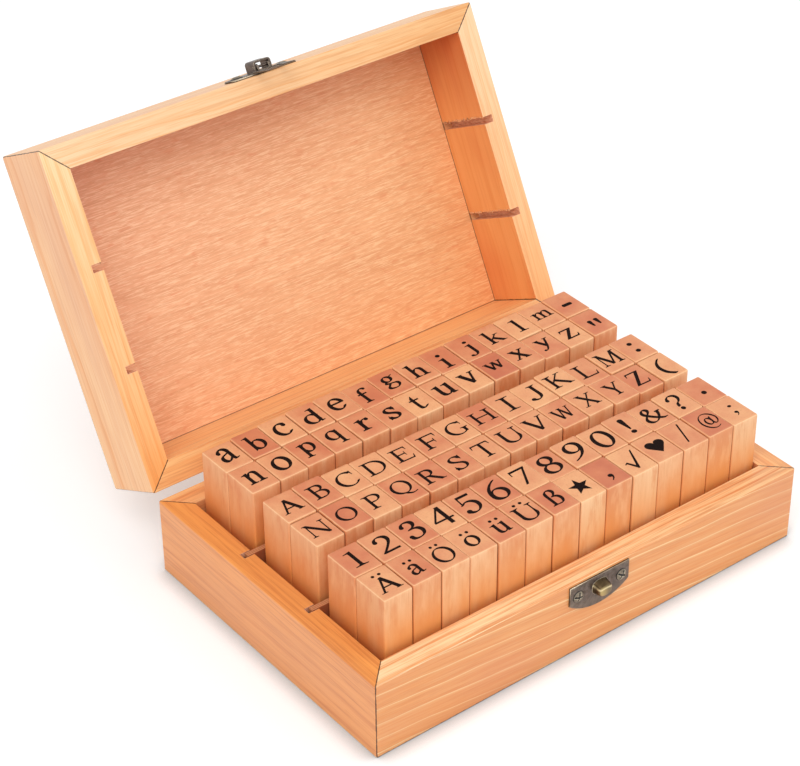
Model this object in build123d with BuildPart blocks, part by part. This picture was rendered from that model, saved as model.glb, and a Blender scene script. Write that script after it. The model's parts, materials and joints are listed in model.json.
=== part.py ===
"""A hinged wooden box of alphabet stamps, with its lid open.

The base and the lid are mitred frames round a thin panel. Two dividers part the base in three
compartments, and each compartment holds two rows of stamps that stand on their rubber dies.
The origin is the centre of the base's underside, +X is to the right and +Z is up.
"""
import os
from math import cos, radians, sin

from build123d import *

os.makedirs("parts", exist_ok=True)

# Box frame
box_length = 200.0
box_width = 133.0
base_height = 32.5
lid_height = 32.5
wall_thickness = 9.7
corner_radius = 0.8
edge_radius = 0.6
rim_radius = 0.5

# Thin panels that close the base and the lid, let into a rebate in the walls
panel_thickness = 3.0
panel_seat = 4.5

# Dividers and the saw cuts that hold them. The middle compartment is a little wider than the outer two.
divider_thickness = 2.2
divider_reach = 2.5
middle_compartment_extra = 1.05
groove_width = 3.0
groove_depth = 4.3

# Lid hinge line, behind the back face at the height of the rim
lid_open_angle = 117.3
hinge_offset = 1.8
rim_gap = 0.2

# Butt hinges
hinge_width = 25.0
hinge_inset = 40.0
leaf_length = 13.0
leaf_thickness = 0.8
leaf_root = 1.9
leaf_corner_radius = 1.5
knuckle_radius = 1.5
knuckle_width = 8.2
knuckle_gap = 0.2
knuckle_root_gap = 0.3
hinge_pin_radius = 0.7
hinge_pin_head = 0.3
pin_clearance = 0.05
stop_heel_reach = 2.9
stop_heel_thickness = 1.0
stop_heel_gap = 0.3
hinge_screw_spacing = 16.0
hinge_screw_place = 8.0

# Screws
hinge_screw_head_radius = 1.9
latch_screw_head_radius = 2.3
screw_head_height = 0.9
screw_crown_share = 0.62
screw_shank_radius = 0.9
screw_length = 7.0
screw_clearance = 0.05
screw_slot_width = 0.5
screw_slot_depth = 0.5
screw_slot_share = 0.6

# Latch: two half-moon plates, a nub on the lower one and a hinged tongue on the upper one
latch_offset = 0.5
latch_plate_width = 28.2
latch_plate_side = 8.2
latch_plate_height = 13.0
latch_plate_thickness = 0.8
latch_plate_edge_gap = 1.2
latch_screw_spacing = 20.6
latch_screw_place = 6.2

nub_width = 7.4
nub_start = 3.1
nub_length = 6.6
nub_height = 3.8
nub_crown_width = 5.0
nub_crown_start = 5.9
nub_crown_length = 2.9
nub_crown_radius = 0.7

housing_width = 9.2
housing_wall = 0.7
housing_start = 1.3
housing_roof_start = 1.8
housing_end = 8.6
housing_height = 5.2
housing_radius = 0.6

tongue_pin_radius = 0.5
tongue_pin_place = 2.6
tongue_pin_height = 2.75
tongue_pin_head = 0.3
tongue_barrel_radius = 1.2
tongue_neck_width = 7.2
tongue_width = 12.0
tongue_thickness = 0.8
tongue_gap = 0.3
tongue_top = 0.4
tongue_shoulder = 0.4
tongue_bar = 1.6
tongue_lip_length = 1.8
tongue_lip_rise = 1.5
tongue_window_side = 0.6
tongue_corner_radius = 1.0

# Stamps. They fill the compartments, with the play that lets a hand get them out.
stamp_columns = 14
stamp_top = 55.4
column_gap = 0.2
row_gap = 0.15
stamp_side_gap = 0.4
column_play = 2.6
row_play = 3.4
front_stamp_gap = 2.5
middle_stamp_gap = 1.45
rear_stamp_gap = 1.3
stamp_chamfer = 0.4
stamp_seat_gap = 0.1
die_thickness = 3.0
die_inset = 0.3

front_stamps = [
    "capital_a_umlaut", "small_a_umlaut", "capital_o_umlaut", "small_o_umlaut", "small_u_umlaut",
    "capital_u_umlaut", "sharp_s", "star", "comma", "check", "heart", "slash", "at_sign", "semicolon",
]

# Worked out from the sizes above
inner_length = box_length - 2 * wall_thickness
inner_width = box_width - 2 * wall_thickness
panel_length = inner_length + 2 * panel_seat
panel_width = inner_width + 2 * panel_seat
outer_compartment = (inner_width - 2 * divider_thickness - middle_compartment_extra) / 3
divider_offset = inner_width / 2 - outer_compartment - divider_thickness / 2
hinge_spacing = box_length - 2 * hinge_inset
stamp_width = (inner_length - stamp_side_gap - column_play + column_gap) / stamp_columns - column_gap
stamp_depth = (outer_compartment - row_play - row_gap) / 2
column_pitch = stamp_width + column_gap
row_pitch = stamp_depth + row_gap
die_bottom = panel_thickness + stamp_seat_gap
block_bottom = die_bottom + die_thickness
first_column = inner_length / 2 - stamp_side_gap - stamp_width / 2 - (stamp_columns - 1) * column_pitch

# Row centres, counted from the front of each compartment
front_row = -inner_width / 2 + front_stamp_gap + stamp_depth / 2
number_row = front_row + row_pitch
middle_row = -divider_offset + divider_thickness / 2 + middle_stamp_gap + stamp_depth / 2
rear_row = divider_offset + divider_thickness / 2 + rear_stamp_gap + stamp_depth / 2

# Frames. A rim plane lies at the middle of a half's rim, and its z points away from the rim to the panel.
lid_up = Vector(0, sin(radians(lid_open_angle)), cos(radians(lid_open_angle)))
lid_back = Vector(0, cos(radians(lid_open_angle)), -sin(radians(lid_open_angle)))
hinge_line = Vector(0, box_width / 2 + hinge_offset, base_height)
lid_front_line = hinge_line - lid_back * (box_width + hinge_offset) + lid_up * rim_gap
base_rim = Plane(origin=(0, 0, base_height), x_dir=(1, 0, 0), z_dir=(0, 0, -1))
lid_rim = Plane(
    origin=hinge_line - lid_back * (box_width / 2 + hinge_offset) + lid_up * rim_gap,
    x_dir=(1, 0, 0),
    z_dir=lid_up,
)
# Latch planes lie on the front faces: the origin is on the rim's edge, y runs away from it, z points out
base_latch = Plane(origin=(latch_offset, -box_width / 2, base_height), x_dir=(-1, 0, 0), z_dir=(0, -1, 0))
lid_latch = Plane(origin=lid_front_line + Vector(latch_offset, 0, 0), x_dir=(1, 0, 0), z_dir=-lid_back)


def save(piece, label):
    """Name a finished piece and write its file."""
    piece.part.label = label
    export_step(piece.part, f"parts/{label}.step")


def leaf_plane(x, back, up):
    """A hinge plane on the pin's line: y runs along the leaf, away from the pin, and z points backwards."""
    return Plane(origin=hinge_line + Vector(x, 0, 0), x_dir=up.cross(back), z_dir=back)


hinge_places = [("left", -hinge_spacing / 2), ("right", hinge_spacing / 2)]
base_leaves = {side: leaf_plane(x, Vector(0, 1, 0), Vector(0, 0, -1)) for side, x in hinge_places}
lid_leaves = {side: leaf_plane(x, lid_back, lid_up) for side, x in hinge_places}


def on_plane(plane, x, y, z):
    """The same plane moved to a point given in its own axes."""
    return Plane(origin=plane.from_local_coords(Vector(x, y, z)), x_dir=plane.x_dir, z_dir=plane.z_dir)


def hinge_screw_planes(leaf):
    """Where one leaf's two screws seat on its outer face."""
    seat = leaf_thickness - hinge_offset
    return [
        on_plane(leaf, side * hinge_screw_spacing / 2, hinge_screw_place, seat) for side in (-1, 1)
    ]


def latch_screw_planes(latch):
    """Where one half-moon plate's two screws seat on its outer face."""
    return [
        on_plane(latch, side * latch_screw_spacing / 2, latch_screw_place, latch_plate_thickness)
        for side in (-1, 1)
    ]


base_hinge_screws = [p for leaf in base_leaves.values() for p in hinge_screw_planes(leaf)]
lid_hinge_screws = [p for leaf in lid_leaves.values() for p in hinge_screw_planes(leaf)]


def wall(label, rim, height, outline, grooved=False, screws=()):
    """One mitred wall of a half: the rounded half block, cut down to the wall's own outline.

    The outline is in the rim plane. The rebate for the panel, the divider grooves and the screws'
    pilot holes are cut from it.
    """
    depth_axis = Axis(rim.origin, rim.z_dir)
    with BuildPart() as piece:
        with BuildSketch(rim):
            RectangleRounded(box_length, box_width, corner_radius)
        extrude(amount=height)
        fillet(piece.faces().sort_by(depth_axis)[-1].edges(), edge_radius)
        fillet(piece.faces().sort_by(depth_axis)[0].edges(), rim_radius)
        with BuildSketch(rim):
            Polygon(*outline, align=None)
        extrude(amount=height, mode=Mode.INTERSECT)
        with BuildSketch(rim.offset(height - panel_thickness)):
            Rectangle(panel_length, panel_width)
        extrude(amount=panel_thickness, mode=Mode.SUBTRACT)
        if grooved:
            with BuildSketch(rim):
                with Locations((0, -divider_offset), (0, divider_offset)):
                    Rectangle(inner_length + 2 * groove_depth, groove_width)
            extrude(amount=height - panel_thickness, mode=Mode.SUBTRACT)
        for seat in screws:
            with BuildSketch(seat):
                Circle(screw_shank_radius + screw_clearance)
            extrude(amount=-screw_length - screw_clearance, mode=Mode.SUBTRACT)
    save(piece, label)


# A wall's outline in its rim plane: the outer edge, and the inner edge shorter by the mitres
half_length = box_length / 2
half_width = box_width / 2
long_wall = [
    (-half_length, -half_width),
    (half_length, -half_width),
    (inner_length / 2, -inner_width / 2),
    (-inner_length / 2, -inner_width / 2),
]
short_wall = [
    (-half_length, half_width),
    (-half_length, -half_width),
    (-inner_length / 2, -inner_width / 2),
    (-inner_length / 2, inner_width / 2),
]
opposite_long_wall = [(-x, -y) for x, y in long_wall]
opposite_short_wall = [(-x, -y) for x, y in short_wall]

# The base's rim plane looks down, so its y runs to the front
wall("base_front_wall", base_rim, base_height, opposite_long_wall, screws=latch_screw_planes(base_latch))
wall("base_back_wall", base_rim, base_height, long_wall, screws=base_hinge_screws)
wall("base_left_wall", base_rim, base_height, short_wall, grooved=True)
wall("base_right_wall", base_rim, base_height, opposite_short_wall, grooved=True)
wall("lid_front_wall", lid_rim, lid_height, long_wall, screws=latch_screw_planes(lid_latch))
wall("lid_back_wall", lid_rim, lid_height, opposite_long_wall, screws=lid_hinge_screws)
wall("lid_left_wall", lid_rim, lid_height, short_wall, grooved=True)
wall("lid_right_wall", lid_rim, lid_height, opposite_short_wall, grooved=True)


def panel(label, rim, height):
    """A thin plywood panel, flush with the outside of its half."""
    with BuildPart() as piece:
        with BuildSketch(rim.offset(height - panel_thickness)):
            Rectangle(panel_length, panel_width)
        extrude(amount=panel_thickness)
    save(piece, label)


panel("base_bottom_panel", base_rim, base_height)
panel("lid_top_panel", lid_rim, lid_height)


def divider(label, y):
    """A thin strip that stands on the bottom panel with its ends in the side walls' grooves."""
    with BuildPart() as piece:
        with BuildSketch(Plane.XY.offset(panel_thickness)):
            with Locations((0, y)):
                Rectangle(inner_length + 2 * divider_reach, divider_thickness)
        extrude(amount=base_height - panel_thickness)
    save(piece, label)


divider("front_divider", -divider_offset)
divider("rear_divider", divider_offset)


def screw_set(label, seats, head_radius):
    """A set of alike screws, each with its head on its seat: crowned head, cross slot and shank."""
    slot_length = 2 * head_radius * screw_slot_share
    slot_align = (Align.CENTER, Align.CENTER, Align.MAX)
    with BuildPart() as piece:
        with Locations(*seats):
            Cone(
                bottom_radius=head_radius,
                top_radius=head_radius * screw_crown_share,
                height=screw_head_height,
                align=(Align.CENTER, Align.CENTER, Align.MIN),
            )
            Cylinder(
                radius=screw_shank_radius,
                height=screw_length,
                align=(Align.CENTER, Align.CENTER, Align.MAX),
            )
        with Locations(*[seat.offset(screw_head_height) for seat in seats]):
            Box(slot_length, screw_slot_width, screw_slot_depth, align=slot_align, mode=Mode.SUBTRACT)
            Box(screw_slot_width, slot_length, screw_slot_depth, align=slot_align, mode=Mode.SUBTRACT)
    save(piece, label)


screw_set("catch_screws", latch_screw_planes(base_latch), latch_screw_head_radius)
screw_set("hasp_screws", latch_screw_planes(lid_latch), latch_screw_head_radius)
screw_set("hinge_base_screws", base_hinge_screws, hinge_screw_head_radius)
screw_set("hinge_lid_screws", lid_hinge_screws, hinge_screw_head_radius)


def leaf(label, plane, knuckles, heel_plane=None):
    """A hinge leaf: the plate on the wood, and the knuckles that turn on the pin.

    The lid's leaf also has a heel on its knuckle, which stops the lid against the base's leaf.
    """
    plate_face = plane.offset(-hinge_offset)
    hub = [
        Plane(origin=plane.from_local_coords(Vector(x, 0, 0)), x_dir=plane.z_dir, z_dir=plane.x_dir)
        for x in knuckles
    ]
    # The knuckles' roots run into the plate past its rounded corners
    root_end = leaf_root + leaf_corner_radius
    with BuildPart() as piece:
        with BuildSketch(plate_face):
            with Locations((0, (leaf_root + leaf_length) / 2)):
                RectangleRounded(hinge_width, leaf_length - leaf_root, leaf_corner_radius)
            with Locations(*[(x, (knuckle_root_gap + root_end) / 2) for x in knuckles]):
                Rectangle(knuckle_width, root_end - knuckle_root_gap)
        extrude(amount=leaf_thickness)
        with BuildSketch(*hub):
            Circle(knuckle_radius)
        extrude(amount=knuckle_width / 2, both=True)
        if heel_plane:
            with BuildSketch(heel_plane.offset(stop_heel_gap + leaf_thickness - hinge_offset)):
                with Locations((0, (stop_heel_reach + hinge_pin_radius) / 2)):
                    Rectangle(knuckle_width, stop_heel_reach - hinge_pin_radius)
            extrude(amount=stop_heel_thickness)
        with BuildSketch(hub[0]):
            Circle(hinge_pin_radius + pin_clearance)
        extrude(amount=hinge_width, both=True, mode=Mode.SUBTRACT)
        for seat in hinge_screw_planes(plane):
            with BuildSketch(seat):
                Circle(screw_shank_radius + screw_clearance)
            extrude(amount=-leaf_thickness, mode=Mode.SUBTRACT)
    save(piece, label)


def hinge_pin(label, plane):
    """The pin of one hinge, upset a little at each end."""
    axis_plane = Plane(origin=plane.origin, x_dir=plane.z_dir, z_dir=plane.x_dir)
    with BuildPart() as piece:
        with BuildSketch(axis_plane):
            Circle(hinge_pin_radius)
        extrude(amount=hinge_width / 2 + hinge_pin_head, both=True)
    save(piece, label)


outer_knuckle = knuckle_width + knuckle_gap
for side in base_leaves:
    leaf(f"{side}_hinge_base_leaf", base_leaves[side], [-outer_knuckle, outer_knuckle])
    leaf(f"{side}_hinge_lid_leaf", lid_leaves[side], [0], heel_plane=base_leaves[side])
    hinge_pin(f"{side}_hinge_pin", base_leaves[side])


def half_moon(latch):
    """Outline of a latch plate on its face plane: a straight edge by the rim, short sides, a curved end."""
    side_end = latch_plate_edge_gap + latch_plate_side
    half = latch_plate_width / 2
    with BuildSketch(latch) as outline:
        with BuildLine():
            Polyline(
                (-half, side_end),
                (-half, latch_plate_edge_gap),
                (half, latch_plate_edge_gap),
                (half, side_end),
            )
            ThreePointArc(
                (half, side_end),
                (0, latch_plate_edge_gap + latch_plate_height),
                (-half, side_end),
            )
        make_face()
    return outline.sketch


def nub_outline(plane, width, start, length):
    """A nub's section: straight by the rim, with straight sides and a round end."""
    half = width / 2
    straight_end = start + length / 2
    with BuildSketch(plane) as outline:
        with BuildLine():
            Polyline((-half, straight_end), (-half, start), (half, start), (half, straight_end))
            ThreePointArc((half, straight_end), (0, start + length), (-half, straight_end))
        make_face()
    return outline.sketch


# Catch plate on the base, with the pressed nub that the tongue's window drops over.
# Its upper side is a ramp, so that a tongue coming down rides out over it.
nub_foot = nub_outline(base_latch.offset(latch_plate_thickness), nub_width, nub_start, nub_length)
nub_crown = nub_outline(
    base_latch.offset(latch_plate_thickness + nub_height),
    nub_crown_width,
    nub_crown_start,
    nub_crown_length,
)
with BuildPart() as catch_plate:
    extrude(half_moon(base_latch), amount=latch_plate_thickness)
    with BuildSketch(*latch_screw_planes(base_latch)):
        Circle(screw_shank_radius + screw_clearance)
    extrude(amount=-latch_plate_thickness, mode=Mode.SUBTRACT)
    loft([nub_foot, nub_crown])
    crown = catch_plate.faces().sort_by(Axis(base_latch.origin, base_latch.z_dir))[-1]
    fillet(crown.edges(), nub_crown_radius)
save(catch_plate, "catch_plate")

# Hasp plate on the lid, with the pressed housing that carries the tongue's pin
housing_length = housing_end - housing_start
housing_middle = (housing_end + housing_start) / 2
tongue_pin = on_plane(lid_latch, 0, tongue_pin_place, tongue_pin_height)
pin_axis = Plane(origin=tongue_pin.origin, x_dir=lid_latch.z_dir, z_dir=lid_latch.x_dir)
with BuildPart() as hasp_plate:
    extrude(half_moon(lid_latch), amount=latch_plate_thickness)
    with BuildSketch(*latch_screw_planes(lid_latch)):
        Circle(screw_shank_radius + screw_clearance)
    extrude(amount=-latch_plate_thickness, mode=Mode.SUBTRACT)
    with BuildSketch(lid_latch):
        with Locations((0, housing_middle)):
            Rectangle(housing_width, housing_length)
    extrude(amount=housing_height)
    roof = hasp_plate.faces().sort_by(Axis(lid_latch.origin, lid_latch.z_dir))[-1]
    roof_edges = roof.edges().sort_by(Axis(lid_latch.origin, lid_latch.x_dir))
    fillet([roof_edges[0], roof_edges[-1]], housing_radius)
    with BuildSketch(lid_latch.offset(latch_plate_thickness)):
        with Locations((0, housing_middle)):
            Rectangle(housing_width - 2 * housing_wall, housing_length)
    extrude(amount=housing_height - housing_wall - latch_plate_thickness, mode=Mode.SUBTRACT)
    with BuildSketch(lid_latch.offset(housing_height)):
        with Locations((0, (housing_start + housing_roof_start) / 2)):
            Rectangle(housing_width - 2 * housing_wall, housing_roof_start - housing_start)
    extrude(amount=-housing_wall, mode=Mode.SUBTRACT)
    with BuildSketch(pin_axis):
        Circle(tongue_pin_radius + pin_clearance)
    extrude(amount=housing_width, both=True, mode=Mode.SUBTRACT)
save(hasp_plate, "hasp_plate")

with BuildPart() as hasp_pin:
    with BuildSketch(pin_axis):
        Circle(tongue_pin_radius)
    extrude(amount=housing_width / 2 + tongue_pin_head, both=True)
save(hasp_pin, "hasp_pin")

# Tongue: a barrel on the pin, a neck out of the housing, and a frame round a window for the nub.
# Places along it are counted from the lid's rim, so below the rim they are negative.
window_top = -rim_gap - nub_start + tongue_window_side
window_bottom = -rim_gap - nub_start - nub_length - tongue_window_side
tongue_end = window_bottom - tongue_bar
tongue_inside = latch_plate_thickness + tongue_gap
tongue_outside = tongue_inside + tongue_thickness
tongue_start = tongue_pin_place + tongue_top
frame_start = window_top + tongue_bar + tongue_shoulder
side_view = Plane(origin=lid_latch.origin, x_dir=lid_latch.y_dir, z_dir=lid_latch.x_dir)
with BuildPart() as hasp_tongue:
    with BuildSketch(side_view):
        with BuildLine():
            Polyline(
                (tongue_start, tongue_inside),
                (tongue_end, tongue_inside),
                (tongue_end - tongue_lip_length, tongue_inside + tongue_lip_rise),
                (tongue_end - tongue_lip_length, tongue_outside + tongue_lip_rise),
                (tongue_end, tongue_outside),
                (tongue_start, tongue_outside),
                close=True,
            )
        make_face()
    extrude(amount=tongue_width / 2, both=True)
    with BuildSketch(lid_latch):
        neck_middle = (frame_start + tongue_start) / 2
        neck_length = tongue_start - frame_start
        side_cut = (tongue_width - tongue_neck_width) / 2
        side_place = (tongue_width + tongue_neck_width) / 4
        with Locations((-side_place, neck_middle), (side_place, neck_middle)):
            Rectangle(side_cut, neck_length)
    extrude(amount=housing_height, mode=Mode.SUBTRACT)
    with BuildSketch(lid_latch):
        with Locations((0, (window_top + window_bottom) / 2)):
            window_width = nub_width + 2 * tongue_window_side
            RectangleRounded(window_width, window_top - window_bottom, tongue_corner_radius)
    extrude(amount=housing_height, mode=Mode.SUBTRACT)
    with BuildSketch(pin_axis):
        Circle(tongue_barrel_radius)
    extrude(amount=tongue_neck_width / 2, both=True)
    with BuildSketch(pin_axis):
        Circle(tongue_pin_radius + pin_clearance)
    extrude(amount=tongue_width, both=True, mode=Mode.SUBTRACT)
save(hasp_tongue, "hasp_tongue")


def stamp_blocks(label, places):
    """Hardwood blocks with eased top edges, one for each place."""
    with BuildPart() as piece:
        with BuildSketch(Plane.XY.offset(block_bottom)):
            with Locations(*places):
                Rectangle(stamp_width, stamp_depth)
        extrude(amount=stamp_top - block_bottom)
        chamfer(piece.faces().group_by(Axis.Z)[-1].edges(), stamp_chamfer)
    save(piece, label)


def stamp_dies(label, places):
    """Rubber dies on their cushions, glued under the blocks."""
    with BuildPart() as piece:
        with BuildSketch(Plane.XY.offset(die_bottom)):
            with Locations(*places):
                Rectangle(stamp_width - 2 * die_inset, stamp_depth - 2 * die_inset)
        extrude(amount=die_thickness)
    save(piece, label)


columns = [first_column + i * column_pitch for i in range(stamp_columns)]
stamp_sets = {
    "rear": [(x, y) for y in (rear_row, rear_row + row_pitch) for x in columns],
    "middle": [(x, y) for y in (middle_row, middle_row + row_pitch) for x in columns],
    "number": [(x, number_row) for x in columns],
}
for name, places in stamp_sets.items():
    stamp_blocks(f"{name}_stamps", places)
    stamp_dies(f"{name}_stamp_dies", places)
for x, name in zip(columns, front_stamps):
    stamp_blocks(f"stamp_{name}", [(x, front_row)])
    stamp_dies(f"die_{name}", [(x, front_row)])
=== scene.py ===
"""The looks of a hinged wooden box of alphabet stamps, shown open on a white table."""
import json
import random
from math import atan2, ceil, cos, hypot, pi, radians, sin

import bmesh
import bpy
from mathutils import Euler, Matrix, Vector
from mathutils.geometry import delaunay_2d_cdt


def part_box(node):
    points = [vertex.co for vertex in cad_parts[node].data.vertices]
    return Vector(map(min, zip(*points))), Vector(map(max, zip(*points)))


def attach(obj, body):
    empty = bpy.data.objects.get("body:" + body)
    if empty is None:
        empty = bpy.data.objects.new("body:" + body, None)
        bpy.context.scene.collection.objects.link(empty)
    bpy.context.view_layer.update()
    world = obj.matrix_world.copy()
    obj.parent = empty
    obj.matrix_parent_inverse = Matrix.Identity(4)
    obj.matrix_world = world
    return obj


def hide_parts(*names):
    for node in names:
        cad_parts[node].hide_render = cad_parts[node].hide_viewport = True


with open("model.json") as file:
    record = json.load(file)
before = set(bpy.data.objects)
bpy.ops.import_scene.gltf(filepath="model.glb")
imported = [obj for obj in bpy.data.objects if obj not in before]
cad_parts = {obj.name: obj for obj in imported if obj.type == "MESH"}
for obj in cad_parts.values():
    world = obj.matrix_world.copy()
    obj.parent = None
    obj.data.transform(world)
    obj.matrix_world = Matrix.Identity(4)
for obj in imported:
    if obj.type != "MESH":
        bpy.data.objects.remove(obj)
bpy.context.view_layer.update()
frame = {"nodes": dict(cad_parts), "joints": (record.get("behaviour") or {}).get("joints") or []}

# The view: a camera about 0.9 m away, above the box's front left corner.
# Its optical axis lies a little right of and below the picture's middle, so it has a small shift.
view_azimuth = radians(-39.01)
view_height = radians(35.53)
view_roll = radians(0.29)
view_distance = 0.91215
view_target = Vector((0.01256, 0.03083, 0.03198))
picture_width = 800
picture_height = 766
focal_pixels = 2361.0
axis_pixel = (454.65, 435.89)
sensor_width = 36.0
towards_camera = Vector((
    sin(view_azimuth) * cos(view_height),
    -cos(view_azimuth) * cos(view_height),
    sin(view_height),
))
level_right = (-towards_camera).cross(Vector((0, 0, 1))).normalized()
level_up = level_right.cross(-towards_camera)
camera_right = cos(view_roll) * level_right + sin(view_roll) * level_up
camera_up = cos(view_roll) * level_up - sin(view_roll) * level_right
camera_data = bpy.data.cameras.new("camera")
camera_data.sensor_width = sensor_width
camera_data.lens = focal_pixels * sensor_width / picture_width
camera_data.shift_x = (picture_width / 2 - axis_pixel[0]) / picture_width
camera_data.shift_y = (axis_pixel[1] - picture_height / 2) / picture_width
camera_data.clip_start = 0.05
camera_data.clip_end = 20


def placed(name, data):
    """An object that holds a mesh, a lamp or a camera, put into the scene."""
    thing = bpy.data.objects.new(name, data)
    bpy.context.scene.collection.objects.link(thing)
    return thing


camera = placed("camera", camera_data)
camera.matrix_world = Matrix.Translation(view_target + view_distance * towards_camera) @ Matrix(
    (camera_right, camera_up, towards_camera)
).transposed().to_4x4()
bpy.context.scene.camera = camera
bpy.context.scene.view_settings.view_transform = "Standard"

# The table and the light. A wide white table top lies under a large soft lamp from the front left,
# a fainter one from the right and an even pale room. The table shows the box's soft shadow, and close to the
# box its colour and glow are darkened by a painted contact shadow.
room_strength = 0.72
key_place = Vector((-1.1, -0.9, 1.8))
key_size = 1.6
key_power = 24.0
key_colour = (1.0, 0.985, 0.96)
fill_place = Vector((1.6, -0.6, 1.2))
fill_size = 1.4
fill_power = 7.0
fill_colour = (1.0, 0.98, 0.95)
table_half = 6.0
table_lift = 0.2
table_white = (0.864, 0.874, 0.884)
contact_reach = 0.009
contact_shade = 0.55


def linear(code):
    """The linear colour of an ordinary six-figure colour code."""
    parts = [int(code[i:i + 2], 16) / 255 for i in (0, 2, 4)]
    return tuple(p / 12.92 if p < 0.04045 else ((p + 0.055) / 1.055) ** 2.4 for p in parts) + (1.0,)


def add(tree, kind, inputs=None, **settings):
    """Add a node with its settings, and with a value or a link for each input given."""
    node = tree.nodes.new(kind)
    for name, value in settings.items():
        setattr(node, name, value)
    for name, value in (inputs or {}).items():
        if isinstance(value, bpy.types.NodeSocket):
            tree.links.new(value, node.inputs[name])
        else:
            node.inputs[name].default_value = value
    return node


def maths(tree, operation, *values):
    """A Math node on one to three values or links."""
    return add(tree, "ShaderNodeMath", dict(enumerate(values)), operation=operation).outputs[0]


def scaled(tree, vector, factor):
    """A vector times a number."""
    return add(tree, "ShaderNodeVectorMath", {0: vector, "Scale": factor}, operation="SCALE").outputs[0]


def spread(tree, value, start, end, low=0.0, high=1.0):
    """Turn a value's range from start to end into one from low to high."""
    inputs = {"Value": value, "From Min": start, "From Max": end, "To Min": low, "To Max": high}
    return add(tree, "ShaderNodeMapRange", inputs).outputs[0]


def new_material(name, roughness, **inputs):
    """A material and its tree and shader. Uniform values go straight on the shader's sockets."""
    material = bpy.data.materials.new(name)
    material.use_nodes = True
    tree = material.node_tree
    shader = tree.nodes["Principled BSDF"]
    shader.inputs["Roughness"].default_value = roughness
    for socket, value in inputs.items():
        shader.inputs[socket.replace("_", " ")].default_value = value
    return material, tree, shader


world = bpy.data.worlds.new("pale room")
bpy.context.scene.world = world
world.use_nodes = True
room = world.node_tree
room.nodes["Background"].inputs["Color"].default_value = (1, 1, 1, 1)


def seen_by_eye(tree):
    """One for rays that show what is behind: from the camera, a mirror or a clear thing."""
    path = add(tree, "ShaderNodeLightPath")
    glossy = maths(tree, "MAXIMUM", path.outputs["Is Camera Ray"], path.outputs["Is Glossy Ray"])
    return maths(tree, "MAXIMUM", glossy, path.outputs["Is Transmission Ray"])


lift = maths(room, "MULTIPLY_ADD", seen_by_eye(room), 1 - room_strength, room_strength)
room.links.new(lift, room.nodes["Background"].inputs["Strength"])

for name, place, size, power, colour in (
    ("key lamp", key_place, key_size, key_power, key_colour),
    ("fill lamp", fill_place, fill_size, fill_power, fill_colour),
):
    lamp = bpy.data.lights.new(name, "AREA")
    lamp.size = size
    lamp.energy = power
    lamp.color = colour
    lamp_object = placed(name, lamp)
    lamp_object.location = place
    lamp_object.rotation_euler = (view_target - place).to_track_quat("-Z", "Y").to_euler()

table_mesh = bpy.data.meshes.new("table")
table_corners = [(x * table_half, y * table_half, 0) for x, y in ((-1, -1), (1, -1), (1, 1), (-1, 1))]
table_mesh.from_pydata(table_corners, [], [(0, 1, 2, 3)])
table = placed("table", table_mesh)
paint, paint_tree, paint_shader = new_material(
    "white table", 0.9, Specular_IOR_Level=0.0, Emission_Color=(1, 1, 1, 1)
)
# Painted contact shadow: ambient occlusion darkens the table's colour and glow where the box stands close.
sheltered = add(paint_tree, "ShaderNodeAmbientOcclusion", {"Distance": contact_reach}, samples=12)
painted_contact_shadow = spread(paint_tree, sheltered.outputs["AO"], 0.5, 0.95, low=contact_shade)
paint_tree.links.new(scaled(paint_tree, table_white, painted_contact_shadow), paint_shader.inputs["Base Color"])
table_glow = maths(paint_tree, "MULTIPLY", painted_contact_shadow, table_lift)
table_glow = maths(paint_tree, "MULTIPLY", seen_by_eye(paint_tree), table_glow)
paint_tree.links.new(table_glow, paint_shader.inputs["Emission Strength"])
table_mesh.materials.append(paint)

# The frames of the base and the lid. Each wall is a stick of orange varnished pine, sawn at the ends for
# the mitre. The grain runs along the stick, and every stick comes from another place in the tree.
box_length = 0.2
box_width = 0.133
wall_thickness = 0.0097
mitre_offset = (box_length - box_width) / 2
inner_half_length = box_length / 2 - wall_thickness
inner_half_width = inner_half_length - mitre_offset
groove_half_width = 0.0015
groove_depth = 0.0043
groove_offset = 0.01965
rim_gap = 0.0002
lid_joint = next(j for j in frame["joints"] if j["name"] == "lid_hinge")
hinge_line = Vector(lid_joint["pos_m"])
lid_angle = radians(-lid_joint["range_deg"][0])
lid_up = Vector((0, sin(lid_angle), cos(lid_angle)))
lid_back = Vector((0, cos(lid_angle), -sin(lid_angle)))
lid_rim_centre = hinge_line - lid_back * hinge_line.y + lid_up * rim_gap
base_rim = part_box("base_front_wall")[1].z


def new_group(name, inputs, outputs):
    """A shader node group with named sockets, and its input and output nodes."""
    group = bpy.data.node_groups.new(name, "ShaderNodeTree")
    for label, kind, value in inputs:
        socket = group.interface.new_socket(label, in_out="INPUT", socket_type="NodeSocket" + kind)
        socket.default_value = value
    for label, kind in outputs:
        group.interface.new_socket(label, in_out="OUTPUT", socket_type="NodeSocket" + kind)
    return group, group.nodes.new("NodeGroupInput").outputs, group.nodes.new("NodeGroupOutput")


def vector_maths(tree, operation, *values):
    """A Vector Math node on one to three values or links."""
    return add(tree, "ShaderNodeVectorMath", dict(enumerate(values)), operation=operation).outputs[0]


def millimetres(tree, vector):
    """Scale a vector from metres to millimetres."""
    return scaled(tree, vector, 1000.0)


def split(tree, vector):
    """The X, Y and Z of a vector."""
    return add(tree, "ShaderNodeSeparateXYZ", {0: vector}).outputs


def stretched_noise(tree, vector, stretch, detail=2.0, roughness=0.5, **inputs):
    """Noise in millimetres, stretched by the given scale along each axis."""
    place = vector_maths(tree, "MULTIPLY", vector, stretch)
    settings = {"Vector": place, "Scale": 1.0, "Detail": detail, "Roughness": roughness, **inputs}
    return add(tree, "ShaderNodeTexNoise", settings).outputs["Fac"]


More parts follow.
